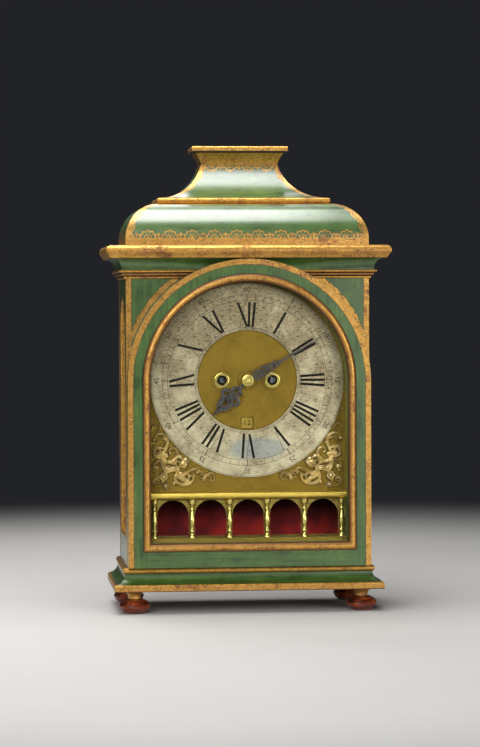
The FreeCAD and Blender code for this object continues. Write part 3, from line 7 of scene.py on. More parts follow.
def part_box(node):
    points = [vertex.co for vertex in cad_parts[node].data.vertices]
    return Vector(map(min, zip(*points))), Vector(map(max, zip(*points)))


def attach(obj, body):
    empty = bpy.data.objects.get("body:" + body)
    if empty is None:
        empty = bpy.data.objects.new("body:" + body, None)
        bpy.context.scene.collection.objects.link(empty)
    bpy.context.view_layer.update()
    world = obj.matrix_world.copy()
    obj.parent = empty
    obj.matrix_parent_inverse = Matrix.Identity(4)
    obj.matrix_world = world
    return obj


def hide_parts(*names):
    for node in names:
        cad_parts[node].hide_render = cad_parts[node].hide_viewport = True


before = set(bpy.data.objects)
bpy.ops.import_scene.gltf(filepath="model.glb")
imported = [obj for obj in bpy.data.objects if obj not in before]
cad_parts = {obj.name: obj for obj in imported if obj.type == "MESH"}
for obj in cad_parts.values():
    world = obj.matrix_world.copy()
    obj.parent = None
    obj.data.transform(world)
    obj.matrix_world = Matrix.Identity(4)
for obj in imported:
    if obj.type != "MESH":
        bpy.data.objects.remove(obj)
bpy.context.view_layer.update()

bl_info = {
    "name": "Baroque Bracket Clock",
    "version": (1, 0, 0),
    "blender": (4, 5, 0),
    "location": "View3D > Sidebar > Clock",
    "description": "Paints, gilds and details a green and gilt bracket clock with a pierced-hand dial",
    "category": "Object",
}

MM = 0.001
RING_LOW, RING_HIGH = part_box("chapter_ring")
DIAL_LEVEL = (RING_LOW.z + RING_HIGH.z) / 2
RING_FRONT = RING_LOW.y
DIAL_FRONT = RING_HIGH.y
CASE_LOW, CASE_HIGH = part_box("case_front")
CASE_HALF = CASE_HIGH.x
CASE_FRONT = CASE_LOW.y
CASE_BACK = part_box("bell_cushion")[1].y
DOOR_LOW, DOOR_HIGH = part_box("door_arch_head")
DOOR_RADIUS = DOOR_HIGH.x
DOOR_FRONT = DOOR_LOW.y

# Sizes on the dial and its ornament, in metres
CUT_DEPTH = 0.00012
QUARTER_INNER = 0.0512
QUARTER_OUTER = 0.0525
RIM_LINE = 0.0955
MINUTE_NUMBER_CIRCLE = 0.0903
MINUTE_NUMBER_HEIGHT = 0.0052
RIVET_CIRCLE = 0.066
RIVET_RADIUS = 0.0012
DATE_CIRCLE = 0.0425
DATE_HEIGHT = 0.0058
DATE_DEPTH = 0.00016
DAYS = 31
SHOWN_DAY = 12
COLLET_RADIUS = 0.008
WINDOW_TOP = DIAL_LEVEL - 0.037
WINDOW_FOOT = DIAL_LEVEL - 0.048
WINDOW_HALF = 0.00575
HAND_THICKNESS = 0.001
HUB_RADIUS_MM = 5.8
CASTING_LIFT = 0.0013
FROND_HEIGHT_MM = 1.75

# Varnish: how dull it is, how much lies on paint and on gold, and its gloss, greater on the bell top
VARNISH_ROUGHNESS = 0.26
VARNISH_ON_PAINT = 0.85
VARNISH_ON_GOLD = 0.25
VARNISH_IOR = 1.45
BELL_VARNISH_IOR = 1.9

# A range with soft ends
SOFT = {"interpolation_type": "SMOOTHSTEP"}

# The camera: turn, tilt and roll in degrees, the place it looks at and how far off it stands
CAMERA_ANGLES = (5.73, 1.54, 0.245)
CAMERA_AIM = (-0.003, 0.0, 0.23565)
CAMERA_DISTANCE = 2.744
FOCUS_PIXELS = 2717.0
PICTURE_PIXELS = 747.0
SENSOR_HEIGHT = 36.0
FLOOR_FADE_MM = (700.0, 1500.0)


def linear(hex_text):
    """An sRGB hex colour as the linear numbers that a shader takes."""
    parts = [int(hex_text[i:i + 2], 16) / 255 for i in (1, 3, 5)]
    return [p / 12.92 if p <= 0.04045 else ((p + 0.055) / 1.055) ** 2.4 for p in parts] + [1.0]


class ClockFinishes(bpy.types.PropertyGroup):
    """Paint and gilding of the case"""
    green: bpy.props.FloatVectorProperty(
        name="Case green", description="Paint of the case and the door", subtype="COLOR", size=4,
        min=0.0, max=1.0, default=linear("#436228"))
    gold: bpy.props.FloatVectorProperty(
        name="Gold leaf", description="Gilding of mouldings and painted borders", subtype="COLOR", size=4,
        min=0.0, max=1.0, default=linear("#D5A04C"))
    bole: bpy.props.FloatVectorProperty(
        name="Bole", description="Red clay that shows where the leaf is worn", subtype="COLOR", size=4,
        min=0.0, max=1.0, default=linear("#8A5426"))
    wear: bpy.props.FloatProperty(
        name="Wear", description="How much of the leaf is rubbed through", subtype="FACTOR",
        min=0.0, max=1.0, default=0.15)
    border: bpy.props.FloatProperty(
        name="Border width", description="Gilt border round the door and the case front", unit="LENGTH",
        min=0.001, max=0.02, default=0.0055)
    lace_pitch: bpy.props.FloatProperty(
        name="Lace pitch", description="Width of one scallop of the gilt lace", unit="LENGTH",
        min=0.005, max=0.06, default=0.022)


class ClockDial(bpy.types.PropertyGroup):
    """Engraved lines and hands of the dial"""
    numeral_foot: bpy.props.FloatProperty(
        name="Numeral foot", description="Radius at the inner end of the hour numerals", unit="LENGTH",
        min=0.03, max=0.08, default=0.0535)
    numeral_head: bpy.props.FloatProperty(
        name="Numeral head", description="Radius at the outer end of the hour numerals", unit="LENGTH",
        min=0.05, max=0.095, default=0.0775)
    stroke: bpy.props.FloatProperty(
        name="Stroke", description="Width of a numeral's thick strokes", unit="LENGTH",
        min=0.0005, max=0.006, default=0.0025)
    hairline: bpy.props.FloatProperty(
        name="Hairline", description="Width of engraved thin lines", unit="LENGTH",
        min=0.0001, max=0.002, default=0.0004)
    track_inner: bpy.props.FloatProperty(
        name="Track inside", description="Inner circle of the minute track", unit="LENGTH",
        min=0.05, max=0.1, default=0.0795)
    track_outer: bpy.props.FloatProperty(
        name="Track outside", description="Outer circle of the minute track", unit="LENGTH",
        min=0.05, max=0.1, default=0.0848)
    hour_angle: bpy.props.FloatProperty(
        name="Hour hand", description="Where the hour hand points, clockwise from twelve",
        subtype="ANGLE", default=math.radians(225.0))
    minute_angle: bpy.props.FloatProperty(
        name="Minute hand", description="Where the minute hand points, clockwise from twelve",
        subtype="ANGLE", default=math.radians(60.3))


class ClockStage(bpy.types.PropertyGroup):
    """Floor, room and lamps"""
    floor: bpy.props.FloatVectorProperty(
        name="Floor", description="Colour of the floor", subtype="COLOR", size=4,
        min=0.0, max=1.0, default=linear("#D4D2CE"))
    room: bpy.props.FloatVectorProperty(
        name="Room", description="Colour of the room all round", subtype="COLOR", size=4,
        min=0.0, max=1.0, default=linear("#222326"))
    key: bpy.props.FloatProperty(
        name="Key light", description="Power of the large lamp before the clock", subtype="POWER",
        min=0.0, max=500.0, default=27.0)
    top: bpy.props.FloatProperty(
        name="Top light", description="Power of the wide lamp over the clock", subtype="POWER",
        min=0.0, max=500.0, default=8.5)


# Materials

def plug(tree, value, socket):
    """Link a node or a socket to an input, or set the input to a plain value."""
    if isinstance(value, bpy.types.Node):
        value = next(output for output in value.outputs if output.enabled)
    if isinstance(value, bpy.types.NodeSocket):
        tree.links.new(value, socket)
    else:
        socket.default_value = value


def add(tree, kind, *values, **settings):
    """Add a shader node with its settings. Values go to its inputs in order, those in a dict by name."""
    made = tree.nodes.new("ShaderNode" + kind)
    for name, value in settings.items():
        setattr(made, name, value)
    if values and isinstance(values[0], dict):
        pairs = [(made.inputs[name], value) for name, value in values[0].items()]
    else:
        pairs = zip([socket for socket in made.inputs if socket.enabled], values)
    for socket, value in pairs:
        plug(tree, value, socket)
    return made


def show(tree, shader):
    """Let this shader be what the material shows."""
    output = next(node for node in tree.nodes if node.type == "OUTPUT_MATERIAL")
    plug(tree, shader, output.inputs["Surface"])


def new_finish(name):
    """A named material with a shader, and its surface's place in millimetres."""
    material = bpy.data.materials.new(name)
    material.use_nodes = True
    tree = material.node_tree
    tree.nodes.clear()
    shader = add(tree, "BsdfPrincipled")
    add(tree, "OutputMaterial", {"Surface": shader})
    place = add(tree, "TexCoord").outputs["Object"]
    mm = add(tree, "VectorMath", place, 1000.0, operation="SCALE")
    return material, tree, shader, mm


def grain(tree, mm, size, detail=3.0, roughness=0.5, stretch=(1.0, 1.0, 1.0)):
    """Soft mottling whose patches are about this many millimetres across."""
    if stretch != (1.0, 1.0, 1.0):
        mm = add(tree, "VectorMath", mm, stretch, operation="MULTIPLY")
    return add(tree, "TexNoise",
               {"Vector": mm, "Scale": 1.0 / size, "Detail": detail, "Roughness": roughness})


def cracks(tree, mm, size, width):
    """A net of fine cracks, with cells about this many millimetres across."""
    wobble = add(tree, "TexNoise", {"Vector": mm, "Scale": 2.0 / size, "Detail": 3.0})
    bent = add(tree, "VectorMath", wobble.outputs["Color"], (size * 0.4,) * 3, mm,
               operation="MULTIPLY_ADD")
    cells = add(tree, "TexVoronoi", {"Vector": bent, "Scale": 1.0 / size}, feature="DISTANCE_TO_EDGE")
    return add(tree, "MapRange", cells.outputs["Distance"], 0.0, width, 1.0, 0.0, **SOFT)


def gilt_layer(tree, mm, paints, shade=0.0, dirt_and_shade=0.0):
    """Leaf gold over red clay: yellow metal in patches, rubbed to red, stippled and cracked with age. The
    shares it is given rub it to red clay and darken it: wear, dirt and painted shade in a moulding's
    hollows.
    """
    gold = paints.gold
    deep = [c * s for c, s in zip(gold, (0.7, 0.62, 0.48, 1.0))]
    pale = [min(1.0, c * s) for c, s in zip(gold, (1.18, 1.28, 1.55, 1.0))]
    tone = grain(tree, mm, 3.0, detail=6.0, roughness=0.7)
    colour = add(tree, "Mix", add(tree, "MapRange", tone, 0.34, 0.48, **SOFT), deep, gold,
                 data_type="RGBA")
    colour = add(tree, "Mix", add(tree, "MapRange", tone, 0.52, 0.66, **SOFT), colour, pale,
                 data_type="RGBA")
    rubbed = add(tree, "Math", grain(tree, mm, 1.7, detail=6.0, roughness=0.72),
                 add(tree, "Math", grain(tree, mm, 20.0, detail=4.0), 1.1, operation="MULTIPLY"),
                 operation="ADD")
    edge = 1.3 - 0.24 * paints.wear
    worn = add(tree, "MapRange", rubbed, edge - 0.1, edge + 0.06, **SOFT)
    stipple = grain(tree, mm, 0.9, detail=4.0, roughness=0.7)
    hollow = add(tree, "Math", shade, add(tree, "MapRange", stipple, 0.3, 0.5, **SOFT),
                 operation="MULTIPLY")
    worn = add(tree, "Math", worn, hollow, operation="MAXIMUM")
    colour = add(tree, "Mix", worn, colour, paints.bole, data_type="RGBA")
    split = add(tree, "Math", cracks(tree, mm, 4.0, 0.06),
                add(tree, "MapRange", grain(tree, mm, 8.0), 0.46, 0.58, **SOFT), operation="MULTIPLY")
    grime = add(tree, "Math", add(tree, "MapRange", stipple, 0.54, 0.66, **SOFT), 0.65,
                operation="MULTIPLY")
    # Darkened by cracks, grime, and the dirt and painted shade passed in
    dark = add(tree, "Math", add(tree, "Math", split, grime, operation="MAXIMUM"), dirt_and_shade,
               operation="MAXIMUM")
    colour = add(tree, "Mix", dark, colour, linear("#20130A"), data_type="RGBA")
    bare = add(tree, "Math", worn, dark, operation="MAXIMUM")
    metal = add(tree, "Math", bare, -0.7, 0.82, operation="MULTIPLY_ADD")
    rough = add(tree, "Math", bare, 0.22, 0.29, operation="MULTIPLY_ADD")
    height = add(tree, "Math", bare, -0.8, grain(tree, mm, 2.0, detail=5.0), operation="MULTIPLY_ADD")
    return {"colour": colour, "metal": metal, "rough": rough, "height": height}


def green_layer(tree, mm, paints, upright=True):
    """Brushed oil paint under old varnish: streaks along the board, dark chips and fine cracks."""
    green = paints.green
    deep = [c * s for c, s in zip(green, (0.4, 0.45, 0.45, 1.0))]
    light = [c * s for c, s in zip(green, (1.55, 1.45, 1.3, 1.0))]
    along = (1.0, 1.0, 0.06) if upright else (0.06, 0.06, 1.0)
    streak = grain(tree, mm, 2.6, detail=5.0, roughness=0.6, stretch=along)
    cloud = grain(tree, mm, 24.0, detail=5.0, roughness=0.6)
    tone = add(tree, "Math", streak, 0.5, add(tree, "Math", cloud, 0.5, operation="MULTIPLY"),
               operation="MULTIPLY_ADD")
    colour = add(tree, "Mix", add(tree, "MapRange", tone, 0.36, 0.5, **SOFT), deep, green,
                 data_type="RGBA")
    colour = add(tree, "Mix", add(tree, "MapRange", tone, 0.5, 0.64, **SOFT), colour, light,
                 data_type="RGBA")
    chip = add(tree, "Math",
               add(tree, "MapRange", grain(tree, mm, 1.8, detail=5.0, roughness=0.7), 0.6, 0.66, **SOFT),
               add(tree, "MapRange", grain(tree, mm, 21.0), 0.5, 0.6, **SOFT), operation="MULTIPLY")
    split = add(tree, "Math", cracks(tree, mm, 8.0, 0.025),
                add(tree, "MapRange", cloud, 0.46, 0.58, **SOFT), operation="MULTIPLY")
    split = add(tree, "Math", split, 0.7, operation="MULTIPLY")
    dark = add(tree, "Math", chip, split, operation="MAXIMUM")
    colour = add(tree, "Mix", dark, colour, linear("#12160C"), data_type="RGBA")
    rough = add(tree, "Math", dark, 0.3, 0.3, operation="MULTIPLY_ADD")
    height = add(tree, "Math", dark, -0.9, add(tree, "Math", streak, 0.5, operation="MULTIPLY"),
                 operation="MULTIPLY_ADD")
    return {"colour": colour, "metal": 0.0, "rough": rough, "height": height}


def over(tree, share, lower, upper):
    """One painted layer over another where the share is 1."""
    metal = lower["metal"]
    if metal != upper["metal"]:
        metal = add(tree, "Mix", share, metal, upper["metal"])
    return {
        "colour": add(tree, "Mix", share, lower["colour"], upper["colour"], data_type="RGBA"),
        "metal": metal,
        "rough": add(tree, "Mix", share, lower["rough"], upper["rough"]),
        "height": add(tree, "Mix", share, lower["height"], upper["height"]),
    }


def wood_layer(tree, mm, dark, light, stretch=(1.0, 1.0, 0.05)):
    """Softwood: long bands between two browns, with dark pores along them."""
    bands = grain(tree, mm, 3.2, detail=5.0, roughness=0.6, stretch=stretch)
    pores = grain(tree, mm, 0.7, detail=2.0, stretch=stretch)
    colour = add(tree, "Mix", add(tree, "MapRange", bands, 0.35, 0.65, **SOFT), linear(dark),
                 linear(light), data_type="RGBA")
    colour = add(tree, "Mix", add(tree, "MapRange", pores, 0.6, 0.75, 0.0, 0.6, **SOFT), colour,
                 linear("#22140A"), data_type="RGBA")
    return {"colour": colour, "metal": 0.0, "rough": 0.6, "height": bands}


def bare_back(tree, mm, layer):
    """The flat back of the case is bare wood: paint and gilding stop at its edges."""
    deep = add(tree, "SeparateXYZ", mm).outputs[1]
    back = add(tree, "Math", deep, CASE_BACK / MM - 0.05, operation="GREATER_THAN")
    wood = wood_layer(tree, mm, "#54371C", "#8A6037", (0.05, 1.0, 1.0))
    return over(tree, back, layer, wood)


def lay(tree, shader, layer, depth_mm, coat=0.0, polish=VARNISH_IOR):
    """Join a layer to the shader, with its relief in millimetres and a varnish over it."""
    bump = add(tree, "Bump", {"Height": layer["height"], "Distance": depth_mm * MM, "Strength": 1.0})
    for name, value in (("Base Color", layer["colour"]), ("Metallic", layer["metal"]),
                        ("Roughness", layer["rough"]), ("Coat Weight", coat)):
        plug(tree, value, shader.inputs[name])
    plug(tree, bump, shader.inputs["Normal"])
    shader.inputs["Coat Roughness"].default_value = VARNISH_ROUGHNESS
    shader.inputs["Coat IOR"].default_value = polish


def gilded(name, paints, hollows=None):
    # Water gilding on a wooden moulding: soft metal gleam, red at rubbed places, dark in its cracks, with
    # painted shade in its hollows and corners
    material, tree, shader, mm = new_finish(name)
    shade, dirt_and_shade = 0.0, 0.0
    if hollows:
        shade, dirt_and_shade = hollows(tree, add(tree, "SeparateXYZ", mm).outputs)
    lay(tree, shader, bare_back(tree, mm, gilt_layer(tree, mm, paints, shade, dirt_and_shade)), 0.16)
    return material


def near(tree, value, middle, width):
    """All of it within this distance of a level, none further off."""
    off = add(tree, "Math", add(tree, "Math", value, middle, operation="SUBTRACT"), operation="ABSOLUTE")
    return add(tree, "MapRange", off, width, width + 0.4, 1.0, 0.0, **SOFT)


def bead_hollows(tree, place):
    """The door's bead is rubbed brown on both flanks, partly wear and partly painted shade on its sides,
    with painted shade at its edges; both are less along its foot, whose top faces the light.
    """
    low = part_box("door_bead")[0]
    y, z = place[1], place[2]
    crest = low.y / MM
    upper = add(tree, "MapRange", z, low.z / MM + 8.0, low.z / MM + 14.0, 0.8, 1.0, **SOFT)
    flank = add(tree, "Math", add(tree, "MapRange", y, crest + 0.05, crest + 0.6, **SOFT), upper,
                operation="MULTIPLY")
    # Painted shade along both edges of the bead
    edge = add(tree, "Math", add(tree, "MapRange", y, crest + 0.7, crest + 2.6, 0.0, 0.9, **SOFT), upper,
               operation="MULTIPLY")
    return flank, edge


def reed_hollows(tree, place):
    """The middle reed is brown, and painted shade darkens the grooves beside it."""
    z = place[2]
    low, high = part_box("cornice_reeds")
    third = (high.z - low.z) / MM / 3
    middle = add(tree, "Math", near(tree, z, (low.z + high.z) / 2 / MM, third * 0.45), 0.85,
                 operation="MULTIPLY")
    grooves = add(tree, "Math", near(tree, z, low.z / MM + third, 0.25),
                  near(tree, z, high.z / MM - third, 0.25), operation="MAXIMUM")
    return middle, grooves


def corona_hollows(tree, place):
    """The cornice's face is rubbed brown in patches below its bright upper edge, with painted shade along
    its underside.
    """
    x, y, z = place
    low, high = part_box("cornice_corona")
    band = near(tree, z, (low.z + high.z) / 2 / MM - 1.0, 2.6)
    patches = add(tree, "TexNoise",
                  {"Vector": add(tree, "CombineXYZ", x, y), "Scale": 0.05, "Detail": 3.0})
    rubbed = add(tree, "Math", band, add(tree, "MapRange", patches, 0.42, 0.6, 0.15, 0.6, **SOFT),
                 operation="MULTIPLY")
    # Painted shade along the cornice's underside
    return rubbed, add(tree, "MapRange", z, low.z / MM + 0.3, low.z / MM + 1.0, 0.9, 0.0, **SOFT)


def board_hollows(tree, place):
    """The plinth's board shows red clay on its face, gold along its top and is darker along its foot."""
    z = place[2]
    low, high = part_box("plinth_board")
    face = add(tree, "MapRange", z, high.z / MM - 2.6, high.z / MM - 1.4, 0.4, 0.0, **SOFT)
    return face, add(tree, "MapRange", z, low.z / MM + 0.4, low.z / MM + 1.2, 0.85, 0.0, **SOFT)


def cap_hollows(tree, place):
    """A dark line is painted at the joint between the cap's moulding and its board: painted shade under
    the board's overhang.
    """
    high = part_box("bell_cap")[1]
    return 0.0, near(tree, place[2], high.z / MM - 5.6, 0.8)


def torus_hollows(tree, place):
    """Painted shade darkens the corners above and below the plinth's torus."""
    z = place[2]
    low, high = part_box("plinth_torus")
    upper = add(tree, "MapRange", z, high.z / MM - 1.2, high.z / MM - 0.5, 0.0, 0.8, **SOFT)
    lower = add(tree, "MapRange", z, low.z / MM + 0.5, low.z / MM + 1.2, 0.8, 0.0, **SOFT)
    return 0.0, add(tree, "Math", upper, lower, operation="MAXIMUM")


def painted(name, paints, borders=None, upright=True, polish=VARNISH_IOR):
    # Green oil paint on wood under glossy varnish, with painted gilding where the borders are
    material, tree, shader, mm = new_finish(name)
    layer = green_layer(tree, mm, paints, upright)
    coat = VARNISH_ON_PAINT
    if borders:
        place = add(tree, "SeparateXYZ", mm)
        uneven = add(tree, "Math", grain(tree, mm, 4.0, detail=4.0), 2.0, -1.0, operation="MULTIPLY_ADD")
        share = borders(tree, place.outputs[0], place.outputs[1], place.outputs[2], uneven, paints)
        layer = over(tree, share, layer, gilt_layer(tree, mm, paints))
        rim = add(tree, "Math",
                  add(tree, "Math", share, add(tree, "Math", 1.0, share, operation="SUBTRACT"),
                      operation="MULTIPLY"), 3.2, operation="MULTIPLY")
        layer["colour"] = add(tree, "Mix", rim, layer["colour"], linear("#14120A"), data_type="RGBA")
        coat = add(tree, "MapRange", share, 0.0, 1.0, VARNISH_ON_PAINT, VARNISH_ON_GOLD, **SOFT)
    lay(tree, shader, bare_back(tree, mm, layer), 0.12, coat, polish)
    return material


def facing(tree, y, front):
    """The front face only: what lies no deeper than half a millimetre behind it."""
    return add(tree, "Math", y, front / MM + 0.5, operation="LESS_THAN")


def from_dial(tree, x, z):
    """Distance from the dial's centre in millimetres."""
    rise = add(tree, "Math", z, DIAL_LEVEL / MM, operation="SUBTRACT")
    flat = add(tree, "CombineXYZ", x, rise)
    return add(tree, "VectorMath", flat, operation="LENGTH").outputs["Value"], rise


def door_border(tree, x, y, z, uneven, paints):
    """A gilt border round the arched head and down both stiles."""
    reach, rise = from_dial(tree, x, z)
    side = add(tree, "Math", x, operation="ABSOLUTE")
    low = add(tree, "Math", rise, 0.0, operation="LESS_THAN")
    out = add(tree, "Mix", low, reach, side)
    edge = add(tree, "Math", out, add(tree, "Math", uneven, 0.9, operation="MULTIPLY"), operation="ADD")
    start = (DOOR_RADIUS - paints.border) / MM
    return add(tree, "Math", add(tree, "MapRange", edge, start - 0.7, start + 0.5, **SOFT),
               facing(tree, y, DOOR_FRONT), operation="MULTIPLY")


def front_border(tree, x, y, z, uneven, paints):
    """Gilt strips up the edges of the case front, and a crescent outside the door's arch."""
    reach, rise = from_dial(tree, x, z)
    side = add(tree, "Math", x, operation="ABSOLUTE")
    strip = add(tree, "Math", side, add(tree, "Math", uneven, 0.8, operation="MULTIPLY"), operation="ADD")
    start = (CASE_HALF - paints.border) / MM
    strip = add(tree, "MapRange", strip, start - 0.7, start + 0.5, **SOFT)
    lean = add(tree, "Math", add(tree, "Math", side, rise, operation="MULTIPLY"),
               add(tree, "Math", reach, reach, operation="MULTIPLY"), operation="DIVIDE")
    wide = add(tree, "Math", lean, 8.5, 2.2, operation="MULTIPLY_ADD")
    inside = add(tree, "Math",
                 add(tree, "Math", reach, add(tree, "Math", uneven, 2.4, operation="MULTIPLY"),
                     operation="ADD"), DOOR_RADIUS / MM, operation="SUBTRACT")
    crescent = add(tree, "MapRange", add(tree, "Math", wide, inside, operation="SUBTRACT"), -0.6, 0.6,
                   **SOFT)
    crescent = add(tree, "Math", crescent,
                   add(tree, "MapRange", reach, DOOR_RADIUS / MM + 0.4, DOOR_RADIUS / MM + 1.2, **SOFT),
                   operation="MULTIPLY")
    share = add(tree, "Math", strip, crescent, operation="MAXIMUM")
    return add(tree, "Math", share, facing(tree, y, CASE_FRONT), operation="MULTIPLY")


def ring_mark(tree, across, up, radius, width):
    """A drawn ring about a place in the lace."""
    flat = add(tree, "CombineXYZ", across, up)
    reach = add(tree, "VectorMath", flat, operation="LENGTH").outputs["Value"]
    off = add(tree, "Math", add(tree, "Math", reach, radius, operation="SUBTRACT"), operation="ABSOLUTE")
    return add(tree, "MapRange", off, width * 0.5, width * 0.5 + 0.3, 1.0, 0.0, **SOFT)


def lace(tree, run, up, uneven, pitch):
    """A row of gilt fans with lobed edges, each with a ring in it and loops between it and the next."""
    run = add(tree, "Math", run, add(tree, "Math", uneven, 1.1, operation="MULTIPLY"), operation="ADD")
    up = add(tree, "Math", up, add(tree, "Math", uneven, 0.7, operation="MULTIPLY"), operation="ADD")
    half = pitch / 2
    unit = pitch / 22.0
    fold = add(tree, "Math", add(tree, "Math", run, pitch, operation="FLOORED_MODULO"), half,
               operation="SUBTRACT")
    gap = add(tree, "Math",
              add(tree, "Math", add(tree, "Math", run, half, operation="ADD"), pitch,
                  operation="FLOORED_MODULO"), half, operation="SUBTRACT")
    angle = add(tree, "Math", up, fold, operation="ARCTAN2")
    lobes = add(tree, "Math",
                add(tree, "Math", add(tree, "Math", angle, 5.0, operation="MULTIPLY"), operation="SINE"),
                operation="ABSOLUTE")
    edge = add(tree, "Math", lobes, 1.6 * unit, 6.4 * unit, operation="MULTIPLY_ADD")
    share = ring_mark(tree, fold, up, edge, 1.3)
    inner = add(tree, "Math", lobes, -1.0 * unit, 4.3 * unit, operation="MULTIPLY_ADD")
    loop = add(tree, "Math", add(tree, "Math", gap, operation="ABSOLUTE"), 1.9 * unit,
               operation="SUBTRACT")
    for across, rise, radius, width in (
        (fold, up, inner, 1.0),
        (fold, add(tree, "Math", up, 1.0 * unit, operation="SUBTRACT"), 0.5 * unit, 1.2),
        (loop, add(tree, "Math", up, 2.0 * unit, operation="SUBTRACT"), 1.9 * unit, 1.1),
        (gap, add(tree, "Math", up, 4.6 * unit, operation="SUBTRACT"), 0.6 * unit, 1.0),
    ):
        share = add(tree, "Math", share, ring_mark(tree, across, rise, radius, width),
                    operation="MAXIMUM")
    return add(tree, "Math", share, add(tree, "Math", up, -0.5, operation="GREATER_THAN"),
               operation="MULTIPLY")


def face_run(tree, x, y):
    """The way along a moulding: across the front, and back along the sides."""
    normal = add(tree, "SeparateXYZ", add(tree, "NewGeometry").outputs["Normal"])
    sideways = add(tree, "Math", add(tree, "Math", normal.outputs[0], operation="ABSOLUTE"),
                   add(tree, "Math", normal.outputs[1], operation="ABSOLUTE"), operation="GREATER_THAN")
    return add(tree, "Mix", sideways, x, y)


def hips(tree, x, y, z, uneven, width, pitch):
    """Gilding along the mitred corners of the bell top, edged with small lace."""
    from_side = add(tree, "Math", CASE_HALF / MM, add(tree, "Math", x, operation="ABSOLUTE"),
                    operation="SUBTRACT")
    from_front = add(tree, "Math", y, CASE_FRONT / MM, operation="SUBTRACT")
    off = add(tree, "Math", add(tree, "Math", from_side, from_front, operation="SUBTRACT"),
              operation="ABSOLUTE")
    rough_off = add(tree, "Math", off, add(tree, "Math", uneven, 2.0, operation="MULTIPLY"),
                    operation="ADD")
    band = add(tree, "MapRange", rough_off, width - 0.4, width + 0.4, 1.0, 0.0, **SOFT)
    return add(tree, "Math", band,
               lace(tree, z, add(tree, "Math", off, width, operation="SUBTRACT"), uneven, pitch),
               operation="MAXIMUM")


def cushion_gilding(tree, x, y, z, uneven, paints):
    """A gilt band round the foot of the cushion with lace above it, gilt hips and a thin top line."""
    low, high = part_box("bell_cushion")
    pitch = paints.lace_pitch / MM
    up = add(tree, "Math", z, low.z / MM + 7.0, operation="SUBTRACT")
    band = add(tree, "Math", up, 0.3, operation="LESS_THAN")
    top = add(tree, "Math", add(tree, "Math", z, uneven, operation="ADD"), high.z / MM - 0.5,
              operation="GREATER_THAN")
    share = add(tree, "Math", add(tree, "Math", band, top, operation="MAXIMUM"),
                lace(tree, face_run(tree, x, y), up, uneven, pitch), operation="MAXIMUM")
    return add(tree, "Math", share, hips(tree, x, y, z, uneven, 3.0, pitch * 0.55), operation="MAXIMUM")


def cove_gilding(tree, x, y, z, uneven, paints):
    """Lace that hangs from the cap down the bell's cove, and gilt hips."""
    pitch = paints.lace_pitch / MM
    down = add(tree, "Math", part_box("bell_cove")[1].z / MM - 0.6, z, operation="SUBTRACT")
    edge = add(tree, "Math", down, 0.6, operation="LESS_THAN")
    share = add(tree, "Math", edge, lace(tree, face_run(tree, x, y), down, uneven, pitch * 0.85),
                operation="MAXIMUM")
    return add(tree, "Math", share, hips(tree, x, y, z, uneven, 2.0, pitch * 0.5), operation="MAXIMUM")


def turned_foot(name, paints):
    # Turned beech, stained red-brown and polished, dark in the turning marks; the neck is gilt
    material, tree, shader, mm = new_finish(name)
    rings = grain(tree, mm, 1.6, detail=4.0, stretch=(0.08, 0.08, 1.0))
    colour = add(tree, "Mix", add(tree, "MapRange", rings, 0.35, 0.65, **SOFT), linear("#2A0E06"),
                 linear("#8A3918"), data_type="RGBA")
    colour = add(tree, "Mix", add(tree, "MapRange", grain(tree, mm, 7.0), 0.55, 0.7, **SOFT), colour,
                 linear("#AD5423"), data_type="RGBA")
    wood = {"colour": colour, "metal": 0.0, "rough": 0.32, "height": rings}
    height = add(tree, "SeparateXYZ", mm).outputs[2]
    neck_level = 14.2
    neck = add(tree, "MapRange", height, neck_level, neck_level + 0.7, **SOFT)
    lay(tree, shader, over(tree, neck, wood, gilt_layer(tree, mm, paints)), 0.12, coat=0.4)
    return material


def plain_wood(name, dark, light):
    # Oiled softwood: long straight grain, darker latewood lines, dull surface
    material, tree, shader, mm = new_finish(name)
    lay(tree, shader, wood_layer(tree, mm, dark, light), 0.15)
    return material


